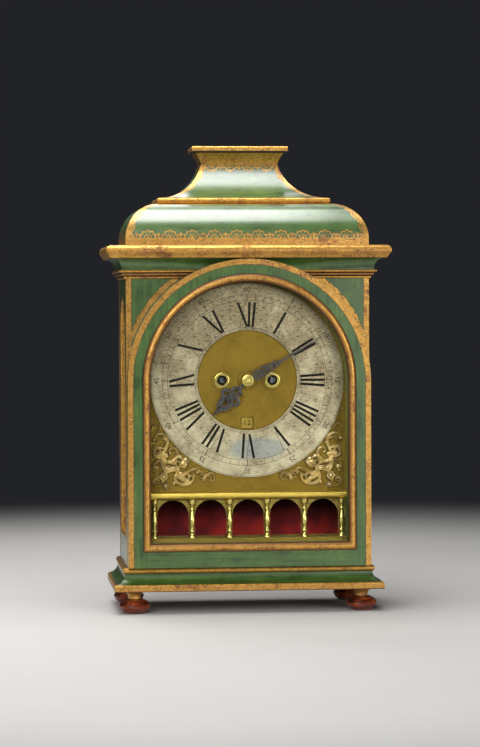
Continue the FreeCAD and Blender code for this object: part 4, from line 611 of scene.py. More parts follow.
def metal_finish(name, base, tarnish, rough, spot=3.0, share=0.5, punch=0.0, brushed=None, hollow=None,
                 relief=False):
    """Old metal: an even base, browner where it is tarnished, spotted, and darker along a hollow.

    A hollow is an axis, two places along it in millimetres and how dark the metal is at each. Relief
    paints a highlight on convex edges and shade in concave ones.
    """
    material, tree, shader, mm = new_finish(name)
    cloud = grain(tree, mm, spot * 5.0, detail=5.0, roughness=0.6)
    fine = grain(tree, mm, spot * 0.5, detail=5.0, roughness=0.7)
    black = [c * 0.35 for c in linear(tarnish)[:3]] + [1.0]
    stain = add(tree, "MapRange", cloud, 0.42, 0.72, 0.0, share, **SOFT)
    colour = add(tree, "Mix", stain, linear(base), linear(tarnish), data_type="RGBA")
    spots_and_shade = add(tree, "MapRange", fine, 0.6, 0.74, 0.0, share, **SOFT)
    if hollow:
        axis, start, end, first, last = hollow
        place = add(tree, "SeparateXYZ", mm).outputs[axis]
        deep = add(tree, "MapRange", place, start, end, first, last, **SOFT)
        spots_and_shade = add(tree, "Math", spots_and_shade, deep, operation="MAXIMUM")
    # Painted highlight on convex edges, painted shade in concave ones
    if relief:
        bend = add(tree, "NewGeometry").outputs["Pointiness"]
        bright = [min(1.0, c * 1.2) for c in linear(base)[:3]] + [1.0]
        colour = add(tree, "Mix", add(tree, "MapRange", bend, 0.5, 0.56, **SOFT), colour, bright,
                     data_type="RGBA")
        spots_and_shade = add(tree, "Math", spots_and_shade, add(tree, "MapRange", bend, 0.44, 0.495, 0.9, 0.0, **SOFT),
                    operation="MAXIMUM")
    colour = add(tree, "Mix", spots_and_shade, colour, black, data_type="RGBA")
    dull = add(tree, "Math", add(tree, "Math", stain, spots_and_shade, operation="MAXIMUM"), 0.25, rough,
               operation="MULTIPLY_ADD")
    height = fine
    depth = 0.05
    if punch:
        dots = add(tree, "TexVoronoi", {"Vector": mm, "Scale": 1.0 / punch}, feature="SMOOTH_F1")
        height = dots.outputs["Distance"]
        depth = punch * 0.35
    if brushed:
        height = grain(tree, mm, 0.5, detail=3.0, stretch=brushed)
        depth = 0.03
    lay(tree, shader, {"colour": colour, "metal": 1.0, "rough": dull, "height": height}, depth)
    return material


def silvered(name):
    # Silvered brass worn grey brown: fine scratches, browner near the top, a bluish patch below
    material, tree, shader, mm = new_finish(name)
    rise = add(tree, "SeparateXYZ", mm).outputs[2]
    cloud = grain(tree, mm, 22.0, detail=6.0, roughness=0.7)
    old = add(tree, "Math", cloud,
              add(tree, "MapRange", rise, DIAL_LEVEL / MM - 96.0, DIAL_LEVEL / MM + 96.0, -0.06, 0.2,
                  **SOFT), operation="ADD")
    colour = add(tree, "Mix", add(tree, "MapRange", old, 0.3, 0.75, **SOFT), linear("#CDBC9D"),
                 linear("#917F64"), data_type="RGBA")
    away = add(tree, "VectorMath", mm, (9.0, 0.0, DIAL_LEVEL / MM - 68.0), operation="SUBTRACT")
    away = add(tree, "VectorMath", away, (1.0, 0.0, 2.4), operation="MULTIPLY")
    away = add(tree, "VectorMath", away, operation="LENGTH").outputs["Value"]
    away = add(tree, "Math", away, add(tree, "Math", cloud, 30.0, operation="MULTIPLY"), operation="ADD")
    colour = add(tree, "Mix", add(tree, "MapRange", away, 36.0, 48.0, 0.6, 0.0, **SOFT), colour,
                 linear("#848E96"), data_type="RGBA")
    scratch = grain(tree, mm, 1.5, detail=6.0, roughness=0.75, stretch=(0.4, 1.0, 1.0))
    pits = grain(tree, mm, 2.4, detail=6.0, roughness=0.78)
    marks = add(tree, "Math", add(tree, "MapRange", scratch, 0.5, 0.62, **SOFT),
                add(tree, "MapRange", old, 0.4, 0.66, 0.3, 1.0, **SOFT), operation="MULTIPLY")
    marks = add(tree, "Math", add(tree, "Math", marks, 0.8, operation="MULTIPLY"),
                add(tree, "Math", add(tree, "MapRange", pits, 0.6, 0.68, **SOFT), 0.85,
                    operation="MULTIPLY"), operation="MAXIMUM")
    colour = add(tree, "Mix", marks, colour, linear("#32281A"), data_type="RGBA")
    rough = add(tree, "Math", marks, 0.25, 0.34, operation="MULTIPLY_ADD")
    lay(tree, shader, {"colour": colour, "metal": 0.85, "rough": rough, "height": scratch}, 0.04)
    return material


def wax(name, colour, worn, share):
    # Black shellac wax in engraved lines, worn pale in places
    material, tree, shader, mm = new_finish(name)
    patchy = add(tree, "MapRange", grain(tree, mm, 1.6, detail=4.0, roughness=0.65), 0.5, 0.66, 0.0,
                 share, **SOFT)
    tone = add(tree, "Mix", patchy, linear(colour), linear(worn), data_type="RGBA")
    lay(tree, shader, {"colour": tone, "metal": 0.0, "rough": 0.6, "height": patchy}, 0.03)
    shader.inputs["Specular IOR Level"].default_value = 0.1
    return material


def lining(name):
    # Red paper glued inside the stage: matt, uneven, with painted shade darkening it towards the top
    # under the gallery. The box itself is bare wood
    material, tree, shader, mm = new_finish(name)
    place = add(tree, "SeparateXYZ", mm)
    cloud = grain(tree, mm, 14.0, detail=4.0)
    low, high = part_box("stage_lining")
    painted_top_shade = add(tree, "MapRange", place.outputs[2], low.z / MM + 4.0, high.z / MM - 6.0, 0.1, 0.9, **SOFT)
    colour = add(tree, "Mix", add(tree, "MapRange", cloud, 0.35, 0.65, **SOFT), linear("#5E0D14"),
                 linear("#8A1914"), data_type="RGBA")
    # Painted shade towards the top of the stage
    colour = add(tree, "Mix", painted_top_shade, colour, linear("#160406"), data_type="RGBA")
    paper = {"colour": colour, "metal": 0.0, "rough": 0.75, "height": grain(tree, mm, 0.8, detail=2.0)}
    outside = add(tree, "Math", add(tree, "Math", place.outputs[0], operation="ABSOLUTE"),
                  high.x / MM - 0.05, operation="GREATER_THAN")
    for axis, edge in ((1, high.y), (2, high.z)):
        past = add(tree, "Math", place.outputs[axis], edge / MM - 0.05, operation="GREATER_THAN")
        outside = add(tree, "Math", outside, past, operation="MAXIMUM")
    wood = wood_layer(tree, mm, "#543820", "#886038", (0.05, 1.0, 1.0))
    lay(tree, shader, over(tree, outside, paper, wood), 0.2)
    shader.inputs["Specular IOR Level"].default_value = 0.1
    return material


def clear_glass(name):
    # Thin old window glass: clear, faintly green, with a slow ripple and hardly any reflection
    material, tree, shader, mm = new_finish(name)
    ripple = grain(tree, mm, 60.0, detail=1.0)
    shader.inputs["Base Color"].default_value = linear("#F4FAF6")
    shader.inputs["Transmission Weight"].default_value = 1.0
    shader.inputs["Roughness"].default_value = 0.0
    shader.inputs["IOR"].default_value = 1.12
    plug(tree, add(tree, "Bump", {"Height": ripple, "Distance": 0.0002, "Strength": 0.3}),
         shader.inputs["Normal"])
    shadow = add(tree, "LightPath").outputs["Is Shadow Ray"]
    show(tree, add(tree, "MixShader", shadow, shader, add(tree, "BsdfTransparent")))
    return material


def dress(material, *names):
    """Give CAD nodes a finish."""
    for name in names:
        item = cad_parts[name]
        item.data.materials.clear()
        item.data.materials.append(material)


# Modelling

def deselect():
    """Leave edit mode and select nothing."""
    if bpy.context.object and bpy.context.object.mode != "OBJECT":
        bpy.ops.object.mode_set(mode="OBJECT")
    bpy.ops.object.select_all(action="DESELECT")


def pick(*pieces):
    """Select these pieces only, the first one active."""
    deselect()
    for piece in pieces:
        piece.select_set(True)
    bpy.context.view_layer.objects.active = pieces[0]


def settle(piece):
    """Put an object's place, turn and scale into its mesh."""
    pick(piece)
    bpy.ops.object.transform_apply(location=True, rotation=True, scale=True)
    return piece


def shaped(piece, kind, **settings):
    """Add a modifier and apply it."""
    pick(piece)
    bpy.ops.object.modifier_add(type=kind)
    modifier = piece.modifiers[-1]
    for name, value in settings.items():
        setattr(modifier, name, value)
    bpy.ops.object.modifier_apply(modifier=modifier.name)
    return piece


def joined(name, pieces):
    """One piece of several, under a new name."""
    pick(*pieces)
    if len(pieces) > 1:
        bpy.ops.object.join()
    made = bpy.context.object
    made.name = name
    made.data.name = name
    return made


def copied(piece, matrix):
    """A copy with its own mesh, moved by a matrix."""
    twin = piece.copy()
    twin.data = piece.data.copy()
    bpy.context.scene.collection.objects.link(twin)
    twin.data.transform(matrix)
    if matrix.determinant() < 0:
        twin.data.flip_normals()
    return twin


def removed(*pieces):
    """Throw away models that were only copied from."""
    for piece in pieces:
        bpy.data.objects.remove(piece)


def tidy_mesh(piece):
    """Merge doubles and turn all faces outwards."""
    pick(piece)
    bpy.ops.object.mode_set(mode="EDIT")
    bpy.ops.mesh.select_all(action="SELECT")
    bpy.ops.mesh.remove_doubles(threshold=0.00001)
    bpy.ops.mesh.normals_make_consistent(inside=False)
    bpy.ops.object.mode_set(mode="OBJECT")
    return piece


def smooth(piece, angle=40.0):
    """Shade a piece smooth, with edges sharper than this angle kept."""
    pick(piece)
    bpy.ops.object.shade_smooth_by_angle(angle=math.radians(angle))
    return piece


def finish(piece, body, slot, material, *replaced):
    """Hand a piece over: its finish, the body it rides on and the nodes it stands for."""
    piece.data.materials.clear()
    piece.data.materials.append(material)
    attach(piece, body)
    if replaced:
        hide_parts(*replaced)


def on_dial(angle, y):
    """From a drawing that points up from the dial's centre to its place on the dial."""
    return Matrix.Translation((0.0, y, DIAL_LEVEL)) @ Matrix.Rotation(angle, 4, "Y")


def stroke(width, foot, head, low, high, depth):
    """A thin cut line in the dial's plane from a low place to a high one, cut level at both ends."""
    run = Vector((head - foot, 0.0, high - low))
    lean = math.atan2(run.x, run.z)
    middle = Vector(((foot + head) / 2, 0.0, (low + high) / 2))
    deselect()
    bpy.ops.mesh.primitive_cube_add(size=1.0, location=middle, rotation=(0.0, lean, 0.0))
    piece = bpy.context.object
    piece.scale = (width * math.cos(lean), depth, run.length + width)
    settle(piece)
    bpy.ops.object.mode_set(mode="EDIT")
    for level, normal in ((low, (0.0, 0.0, -1.0)), (high, (0.0, 0.0, 1.0))):
        bpy.ops.mesh.select_all(action="SELECT")
        bpy.ops.mesh.bisect(plane_co=(0.0, 0.0, level), plane_no=normal, use_fill=True, clear_outer=True)
    bpy.ops.object.mode_set(mode="OBJECT")
    return piece


def circle_line(radius, width, depth, steps=128):
    """An engraved circle about the dial's centre."""
    deselect()
    bpy.ops.mesh.primitive_circle_add(vertices=steps, radius=radius + width / 2, fill_type="NGON",
                                      rotation=(math.pi / 2, 0.0, 0.0))
    piece = settle(bpy.context.object)
    bpy.ops.object.mode_set(mode="EDIT")
    bpy.ops.mesh.select_all(action="SELECT")
    bpy.ops.mesh.inset(thickness=width, depth=0.0)
    bpy.ops.mesh.delete(type="FACE")
    bpy.ops.object.mode_set(mode="OBJECT")
    return shaped(piece, "SOLIDIFY", thickness=depth, offset=0.0)


def lettered(text, height, depth):
    """A number drawn upright in the dial's plane about its own middle."""
    deselect()
    bpy.ops.object.text_add(rotation=(math.pi / 2, 0.0, 0.0))
    piece = bpy.context.object
    piece.data.body = text
    piece.data.size = height * 1.38
    piece.data.align_x = "CENTER"
    piece.data.align_y = "CENTER"
    piece.data.extrude = depth / 2
    pick(piece)
    bpy.ops.object.convert(target="MESH")
    return settle(bpy.context.object)


def tube(points, thick, thin, flat):
    """A rib along a line of places (x, z) from the dial's centre, tapered, and higher than it is wide."""
    deselect()
    bpy.ops.curve.primitive_nurbs_path_add()
    piece = bpy.context.object
    bpy.ops.object.mode_set(mode="EDIT")
    bpy.ops.curve.select_all(action="SELECT")
    bpy.ops.curve.subdivide(number_cuts=3)
    bpy.ops.object.mode_set(mode="OBJECT")
    spline = piece.data.splines[0]
    last = len(spline.points) - 1
    for index, point in enumerate(spline.points):
        share = index / last
        at = share * (len(points) - 1)
        low = min(int(at), len(points) - 2)
        here = Vector(points[low]).lerp(Vector(points[low + 1]), at - low)
        point.co = (here.x * MM, 0.0, here.y * MM, 1.0)
        point.radius = thick + (thin - thick) * share
    spline.order_u = 3
    spline.use_endpoint_u = True
    piece.data.dimensions = "3D"
    piece.data.bevel_depth = MM
    piece.data.bevel_resolution = 2
    piece.data.resolution_u = 3
    piece.data.use_fill_caps = True
    pick(piece)
    bpy.ops.object.convert(target="MESH")
    piece = bpy.context.object
    piece.data.transform(Matrix.Diagonal((1.0, flat, 1.0, 1.0)))
    return piece


def volute(centre, radius, start, turn):
    """Places along a scroll that winds in to its eye, from a start angle through a turn in degrees."""
    places = []
    for step in range(13):
        share = step / 12
        angle = math.radians(start + turn * share)
        reach = radius * (1.0 - 0.78 * share)
        places.append((centre[0] + math.cos(angle) * reach, centre[1] + math.sin(angle) * reach))
    return places


def curve_place(a, b, c, e, t):
    """A place on the smooth line between b and c, whose neighbours are a and e."""
    return 0.5 * ((2 * b) + (c - a) * t + (2 * a - 5 * b + 4 * c - e) * t * t
                  + (3 * b - a - 3 * c + e) * t ** 3)


def trail(points, count=25):
    """A smooth line of places through a few given ones."""
    ends = [points[0]] + list(points) + [points[-1]]
    made = []
    for step in range(count):
        at = step / (count - 1) * (len(points) - 1)
        low = min(int(at), len(points) - 2)
        made.append(curve_place(*(Vector(p) for p in ends[low:low + 4]), at - low))
    return made


def bead(place, radius):
    """A round boss, a little higher than half a ball."""
    deselect()
    bpy.ops.mesh.primitive_uv_sphere_add(segments=14, ring_count=8, radius=radius * MM,
                                         location=(place[0] * MM, 0.0, place[1] * MM),
                                         rotation=(math.pi / 2, 0.0, 0.0))
    return settle(bpy.context.object)


def fluted(points, width, ribs):
    """An acanthus frond: ribs side by side that draw together to a curled tip with a bead."""
    line = trail(points)
    last = len(line) - 1
    made = []
    for rib in range(ribs):
        lane = (rib - (ribs - 1) / 2) / ribs * width
        beside = []
        for index, place in enumerate(line):
            along = (line[min(index + 1, last)] - line[max(index - 1, 0)]).normalized()
            share = index / last
            swell = 0.55 + 0.45 * math.sin(math.pi * min(1.0, share * 1.4))
            spread = lane * swell * (1.0 - 0.8 * share ** 3)
            beside.append(place + Vector((-along.y, along.x)) * spread)
        thick = width / ribs * (0.56 if lane else 0.64)
        made.append(tube(beside, thick, thick * 0.62, FROND_HEIGHT_MM / thick))
    made.append(bead(line[-1], width * 0.26 + 0.35))
    return made


def turned(profile, steps):
    """A piece turned about the upright line, from its profile of (radius, height) in millimetres."""
    deselect()
    bpy.ops.mesh.primitive_plane_add(size=MM)
    piece = bpy.context.object
    bpy.ops.object.mode_set(mode="EDIT")
    bpy.ops.mesh.select_all(action="SELECT")
    bpy.ops.mesh.merge(type="CENTER")
    before = Vector((0.0, 0.0, 0.0))
    for index, (radius, level) in enumerate(profile):
        here = Vector((radius * MM, 0.0, level * MM))
        if index:
            bpy.ops.mesh.extrude_vertices_move(TRANSFORM_OT_translate={"value": here - before})
        else:
            bpy.ops.transform.translate(value=here)
        before = here
    bpy.ops.mesh.select_all(action="SELECT")
    bpy.ops.mesh.spin(steps=steps, angle=math.tau, center=(0.0, 0.0, 0.0), axis=(0.0, 0.0, 1.0))
    bpy.ops.object.mode_set(mode="OBJECT")
    return smooth(tidy_mesh(piece), 50.0)


def leaf_model():
    """One acanthus lobe along +X from its root: swelling, hollow down the middle, with a turned tip."""
    deselect()
    bpy.ops.mesh.primitive_uv_sphere_add(segments=16, ring_count=12, radius=0.5,
                                         rotation=(0.0, math.pi / 2, 0.0))
    piece = settle(bpy.context.object)
    for vert in piece.data.vertices:
        share = vert.co.x + 0.5
        width = math.sin(math.pi * min(0.97, share * 1.02)) ** 0.8 * (1.0 - 0.55 * share) * 1.6
        across = vert.co.z * width * 0.62
        hollow = 1.0 - 0.55 * math.exp(-(across / 0.07) ** 2)
        vert.co = (share, vert.co.y * 0.55 * hollow * (0.5 + width), across + 0.12 * share * share)
    return smooth(piece, 60.0)


def leaves(model, places):
    """Copies of the leaf: root (x, z), direction in degrees, length, and which way the tip curls."""
    made = []
    for x, z, angle, length, side in places:
        size = Matrix.Diagonal((length * MM, length * MM * 0.8, length * MM * side, 1.0))
        turn = Matrix.Rotation(-math.radians(angle), 4, "Y")
        made.append(copied(model, Matrix.Translation((x * MM, 0.0, z * MM)) @ turn @ size))
    return made


def flower(model, place, radius, petals):
    """A rosette: petals round a boss, with small beads between them."""
    made = [bead(place, radius * 0.42)]
    for index in range(petals):
        angle = 360.0 / petals * index + 12.0
        way = Vector((math.cos(math.radians(angle)), math.sin(math.radians(angle))))
        root = Vector(place) + way * radius * 0.22
        made += leaves(model, ((root.x, root.y, angle, radius * 0.85, 1.0 if index % 2 else -1.0),))
        side = math.radians(angle + 180.0 / petals)
        spot = Vector(place) + Vector((math.cos(side), math.sin(side))) * radius * 0.62
        made.append(bead(spot, radius * 0.16))
    return made


def spline_outline(points, steps=6):
    """A smooth closed outline through (x, z) places. A place with a third value stays a sharp corner."""
    smooth_line = []
    count = len(points)
    for index in range(count):
        before, here, after, beyond = (points[(index + k) % count] for k in (-1, 0, 1, 2))
        a, b, c, e = (Vector(p[:2]) for p in (before, here, after, beyond))
        if len(here) > 2:
            a = b
        if len(after) > 2:
            e = c
        smooth_line += [curve_place(a, b, c, e, step / steps) for step in range(steps)]
    return smooth_line


def flat_plate(outline, thickness):
    """A plate cut to an outline in the dial's plane, given in millimetres."""
    deselect()
    bpy.ops.mesh.primitive_circle_add(vertices=len(outline), radius=MM, fill_type="NGON",
                                      rotation=(math.pi / 2, 0.0, 0.0))
    piece = settle(bpy.context.object)
    for vert, place in zip(piece.data.vertices, outline):
        vert.co = (place.x * MM, 0.0, place.y * MM)
    shaped(piece, "SOLIDIFY", thickness=thickness, offset=0.0)
    return tidy_mesh(piece)


def pierced(plate, holes, thickness):
    """Cut round and oval holes (x, z, half width, half height, lean) through a plate."""
    for x, z, wide, high, lean in holes:
        deselect()
        bpy.ops.mesh.primitive_cylinder_add(vertices=20, radius=1.0, depth=thickness * 4,
                                            location=(x * MM, 0.0, z * MM),
                                            rotation=(math.pi / 2, 0.0, 0.0))
        cutter = bpy.context.object
        cutter.scale = (wide * MM, high * MM, 1.0)
        settle(cutter)
        middle = Vector((x * MM, 0.0, z * MM))
        turn = Matrix.Translation(middle) @ Matrix.Rotation(math.radians(lean), 4, "Y")
        cutter.data.transform(turn @ Matrix.Translation(-middle))
        shaped(plate, "BOOLEAN", operation="DIFFERENCE", object=cutter, solver="EXACT")
        removed(cutter)


class CLOCK_OT_paint_case(bpy.types.Operator):
    """Paint the case and the front door green, with their painted gilding, and stain the feet"""
    bl_idname = "clock.paint_case"
    bl_label = "Paint Case"

    def execute(self, context):
        paints = context.scene.clock_finishes
        dress(painted("green_oil_paint", paints), "case_sides")
        dress(painted("green_oil_paint_moulding", paints, upright=False),
              "plinth_cove", "cornice_cove", "door_bottom_rail")
        dress(painted("green_paint_gilt_door_border", paints, door_border), "door_arch_head",
              "door_stiles")
        dress(painted("green_paint_gilt_front_border", paints, front_border), "case_front")
        dress(painted("green_paint_gilt_lace", paints, cushion_gilding, upright=False,
                      polish=BELL_VARNISH_IOR), "bell_cushion")
        dress(painted("green_paint_hanging_lace", paints, cove_gilding, upright=False,
                      polish=BELL_VARNISH_IOR), "bell_cove")
        dress(turned_foot("stained_beech", paints), "bun_feet")
        dress(plain_wood("oiled_pine", "#54371C", "#8A6037"), "case_rear_frame", "rear_door_frame",
              "seat_board", "door_glazing_strip")
        return {"FINISHED"}


class CLOCK_OT_gild_mouldings(bpy.types.Operator):
    """Gild the run mouldings, each worn where its own form is touched, with painted shade in its hollows
    and corners
    """
    bl_idname = "clock.gild_mouldings"
    bl_label = "Gild Mouldings"

    def execute(self, context):
        paints = context.scene.clock_finishes
        dress(gilded("water_gilding", paints), "bell_fillet", "side_window_beads")
        dress(gilded("gilding_torus", paints, torus_hollows), "plinth_torus")
        dress(gilded("gilding_worn_shaded_bead", paints, bead_hollows), "door_bead")
        dress(gilded("gilding_brown_reeds", paints, reed_hollows), "cornice_reeds")
        dress(gilded("gilding_patched_cornice", paints, corona_hollows), "cornice_corona")
        dress(gilded("gilding_red_board", paints, board_hollows), "plinth_board")
        dress(gilded("gilding_jointed_cap", paints, cap_hollows), "bell_cap")
        return {"FINISHED"}


class CLOCK_OT_glaze(bpy.types.Operator):
    """Put glass in the doors and side windows"""
    bl_idname = "clock.glaze"
    bl_label = "Glaze"

    def execute(self, context):
        dress(clear_glass("window_glass"), "door_glass", "side_window_glass", "rear_door_glass")
        return {"FINISHED"}


class CLOCK_OT_dress_dial(bpy.types.Operator):
    """Finish the dial plate, chapter ring, collets and date ring"""
    bl_idname = "clock.dress_dial"
    bl_label = "Dress Dial"

    def execute(self, context):
        # Matted brass: punched all over, so it gives back a dull deep yellow
        dress(metal_finish("matted_brass", "#785F25", "#5C491B", 0.46, spot=6.0, share=0.5, punch=0.9),
              "dial_plate")
        dress(silvered("silvered_brass"), "chapter_ring")
        # Smooth brass behind the window: paler than the plate, with small brown spots
        dress(metal_finish("date_brass", "#9E833C", "#6A5423", 0.45, spot=2.0, share=0.5), "date_ring")
        # Turned and polished brass: bright rings of light round the winding holes
        dress(metal_finish("turned_brass", "#F7DD84", "#AD8A3C", 0.2, spot=2.0, share=0.25),
              "winding_collets")
        return {"FINISHED"}


class CLOCK_OT_engrave_numerals(bpy.types.Operator):
    """Cut the hour numerals in the chapter ring and fill them with black wax"""
    bl_idname = "clock.engrave_numerals"
    bl_label = "Engrave Numerals"

    def execute(self, context):
        dial = context.scene.clock_dial
        foot, head, wide, thin = dial.numeral_foot, dial.numeral_head, dial.stroke, dial.hairline
        reach = 0.0036
        serif = 0.0022
        # Thick strokes and thin ones from foot to head, then where the serifs at foot and head are
        shapes = {
            "I": ([(0.0, 0.0)], [], [0.0], [0.0]),
            "V": ([(0.0, -reach)], [(0.0, reach)], [], [-reach, reach]),
            "X": ([(reach, -reach)], [(-reach, reach)], [-reach, reach], [-reach, reach]),
        }
        bold, fine = {}, {}
        for letter, (thick_lines, thin_lines, feet, heads) in shapes.items():
            bold[letter] = joined("bold_" + letter, [stroke(wide, a, b, foot, head, CUT_DEPTH)
                                                     for a, b in thick_lines])
            lines = [stroke(thin, a, b, foot, head, CUT_DEPTH) for a, b in thin_lines]
            lines += [stroke(serif * 2, x, x, foot - thin, foot, CUT_DEPTH) for x in feet]
            lines += [stroke(serif * 2, x, x, head, head + thin, CUT_DEPTH) for x in heads]
            fine[letter] = joined("fine_" + letter, lines)
        advance = {"I": 0.0046, "V": 0.0086, "X": 0.0088}
        middle = (foot + head) / 2
        strokes, hairs = [], []
        for hour, word in enumerate("I II III IIII V VI VII VIII IX X XI XII".split(), start=1):
            place = -sum(advance[c] for c in word) / 2
            for letter in word:
                angle = math.radians(30 * hour) + (place + advance[letter] / 2) / middle
                place += advance[letter]
                strokes.append(copied(bold[letter], on_dial(angle, RING_FRONT)))
                hairs.append(copied(fine[letter], on_dial(angle, RING_FRONT)))
        removed(*bold.values(), *fine.values())
        finish(joined("numeral_strokes", strokes), "case", "silvered_brass",
               wax("black_wax", "#120E0A", "#3B3228", 0.4))
        finish(joined("numeral_hairlines", hairs), "case", "silvered_brass",
               wax("worn_black_wax", "#2A241A", "#6A6250", 0.8))
        return {"FINISHED"}


class CLOCK_OT_engrave_minute_track(bpy.types.Operator):
    """Cut the minute track, the five-minute numbers and the lines round the dial's holes"""
    bl_idname = "clock.engrave_minute_track"
    bl_label = "Engrave Minute Track"

    def execute(self, context):
        dial = context.scene.clock_dial
        thin = dial.hairline
        inner, outer = dial.track_inner, dial.track_outer
        circles = (inner, outer, QUARTER_INNER, QUARTER_OUTER, RIM_LINE)
        lines = [circle_line(radius, thin * 0.8, CUT_DEPTH) for radius in circles]
        flat = Matrix.Translation((0.0, RING_FRONT, DIAL_LEVEL))
        marks = [copied(line, flat) for line in lines]
        removed(*lines)
        minute = stroke(thin * 0.8, 0.0, 0.0, inner, outer, CUT_DEPTH)
        five = stroke(thin * 1.8, 0.0, 0.0, inner - 0.0006, outer + 0.001, CUT_DEPTH)
        quarter = stroke(thin * 0.8, 0.0, 0.0, QUARTER_INNER, QUARTER_OUTER, CUT_DEPTH)
        for index in range(60):
            model = five if index % 5 == 0 else minute
            marks.append(copied(model, on_dial(math.radians(6 * index), RING_FRONT)))
        for index in range(48):
            marks.append(copied(quarter, on_dial(math.radians(7.5 * index), RING_FRONT)))
        removed(minute, five, quarter)
        for index in range(1, 13):
            number = lettered(str(index * 5), MINUTE_NUMBER_HEIGHT, CUT_DEPTH)
            out = Matrix.Translation((0.0, 0.0, MINUTE_NUMBER_CIRCLE))
            marks.append(copied(number, on_dial(math.radians(30 * index), RING_FRONT) @ out))
            removed(number)
        finish(joined("minute_track", marks), "case", "silvered_brass",
               wax("faint_engraving", "#221A10", "#665B47", 0.7))
        low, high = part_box("winding_collets")
        spread = (high.x - low.x) / 2 - COLLET_RADIUS
        rings = []
        # Round the two winding holes, the hole for the hands and the matted centre
        for x, radius in ((-spread, 0.0103), (spread, 0.0103), (0.0, 0.0095), (0.0, 0.0492)):
            circle = circle_line(radius, thin, CUT_DEPTH, steps=64)
            rings.append(copied(circle, Matrix.Translation((x, DIAL_FRONT, DIAL_LEVEL))))
            removed(circle)
        side = WINDOW_HALF + 0.0004
        across = WINDOW_HALF * 2 + 0.0012
        cut = 0.0005
        frame_lines = [stroke(cut, x, x, WINDOW_FOOT, WINDOW_TOP, CUT_DEPTH) for x in (-side, side)]
        frame_lines.append(stroke(across, 0.0, 0.0, WINDOW_TOP, WINDOW_TOP + cut, CUT_DEPTH))
        frame_lines.append(stroke(across, 0.0, 0.0, WINDOW_FOOT - cut, WINDOW_FOOT, CUT_DEPTH))
        rings += [copied(line, Matrix.Translation((0.0, DIAL_FRONT, 0.0))) for line in frame_lines]
        removed(*frame_lines)
        finish(joined("dial_centre_lines", rings), "case", "brass",
               wax("dark_brass_lines", "#2C2310", "#685423", 0.7))
        return {"FINISHED"}


class CLOCK_OT_rivet_ring(bpy.types.Operator):
    """Set the rivet heads that hold the chapter ring"""
    bl_idname = "clock.rivet_ring"
    bl_label = "Rivet Ring"

    def execute(self, context):
        deselect()
        bpy.ops.mesh.primitive_uv_sphere_add(segments=16, ring_count=10, radius=RIVET_RADIUS,
                                             rotation=(math.pi / 2, 0.0, 0.0))
        head = settle(bpy.context.object)
        bpy.ops.object.mode_set(mode="EDIT")
        bpy.ops.mesh.select_all(action="SELECT")
        bpy.ops.mesh.bisect(plane_co=(0.0, 0.0001, 0.0), plane_no=(0.0, 1.0, 0.0), use_fill=True,
                            clear_outer=True)
        bpy.ops.object.mode_set(mode="OBJECT")
        head.data.transform(Matrix.Diagonal((1.0, 0.3, 1.0, 1.0)))
        smooth(head)
        heads = []
        for angle in (45, 135, 225, 315):
            out = Matrix.Translation((0.0, 0.0, RIVET_CIRCLE))
            heads.append(copied(head, on_dial(math.radians(angle), RING_FRONT) @ out))
        removed(head)
        # Old rivet heads: grey brown and dull, hardly brighter than the ring
        finish(joined("ring_rivets", heads), "case", "silvered_brass",
               metal_finish("tarnished_rivet", "#8A806F", "#544B3C", 0.45, spot=1.0))
        return {"FINISHED"}


class CLOCK_OT_number_date_ring(bpy.types.Operator):
    """Number the date ring, with the shown day at the window"""
    bl_idname = "clock.number_date_ring"
    bl_label = "Number Date Ring"

    def execute(self, context):
        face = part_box("date_ring")[0].y
        numbers = []
        down = Matrix.Translation((0.0, 0.0, -DATE_CIRCLE))
        for day in range(1, DAYS + 1):
            number = lettered(str(day), DATE_HEIGHT, DATE_DEPTH)
            angle = math.radians((SHOWN_DAY - day) * 360 / DAYS)
            numbers.append(copied(number, on_dial(angle, face) @ down))
            removed(number)
        finish(joined("date_numbers", numbers), "date", "silvered_brass",
               wax("date_wax", "#151008", "#352C18", 0.3))
        return {"FINISHED"}


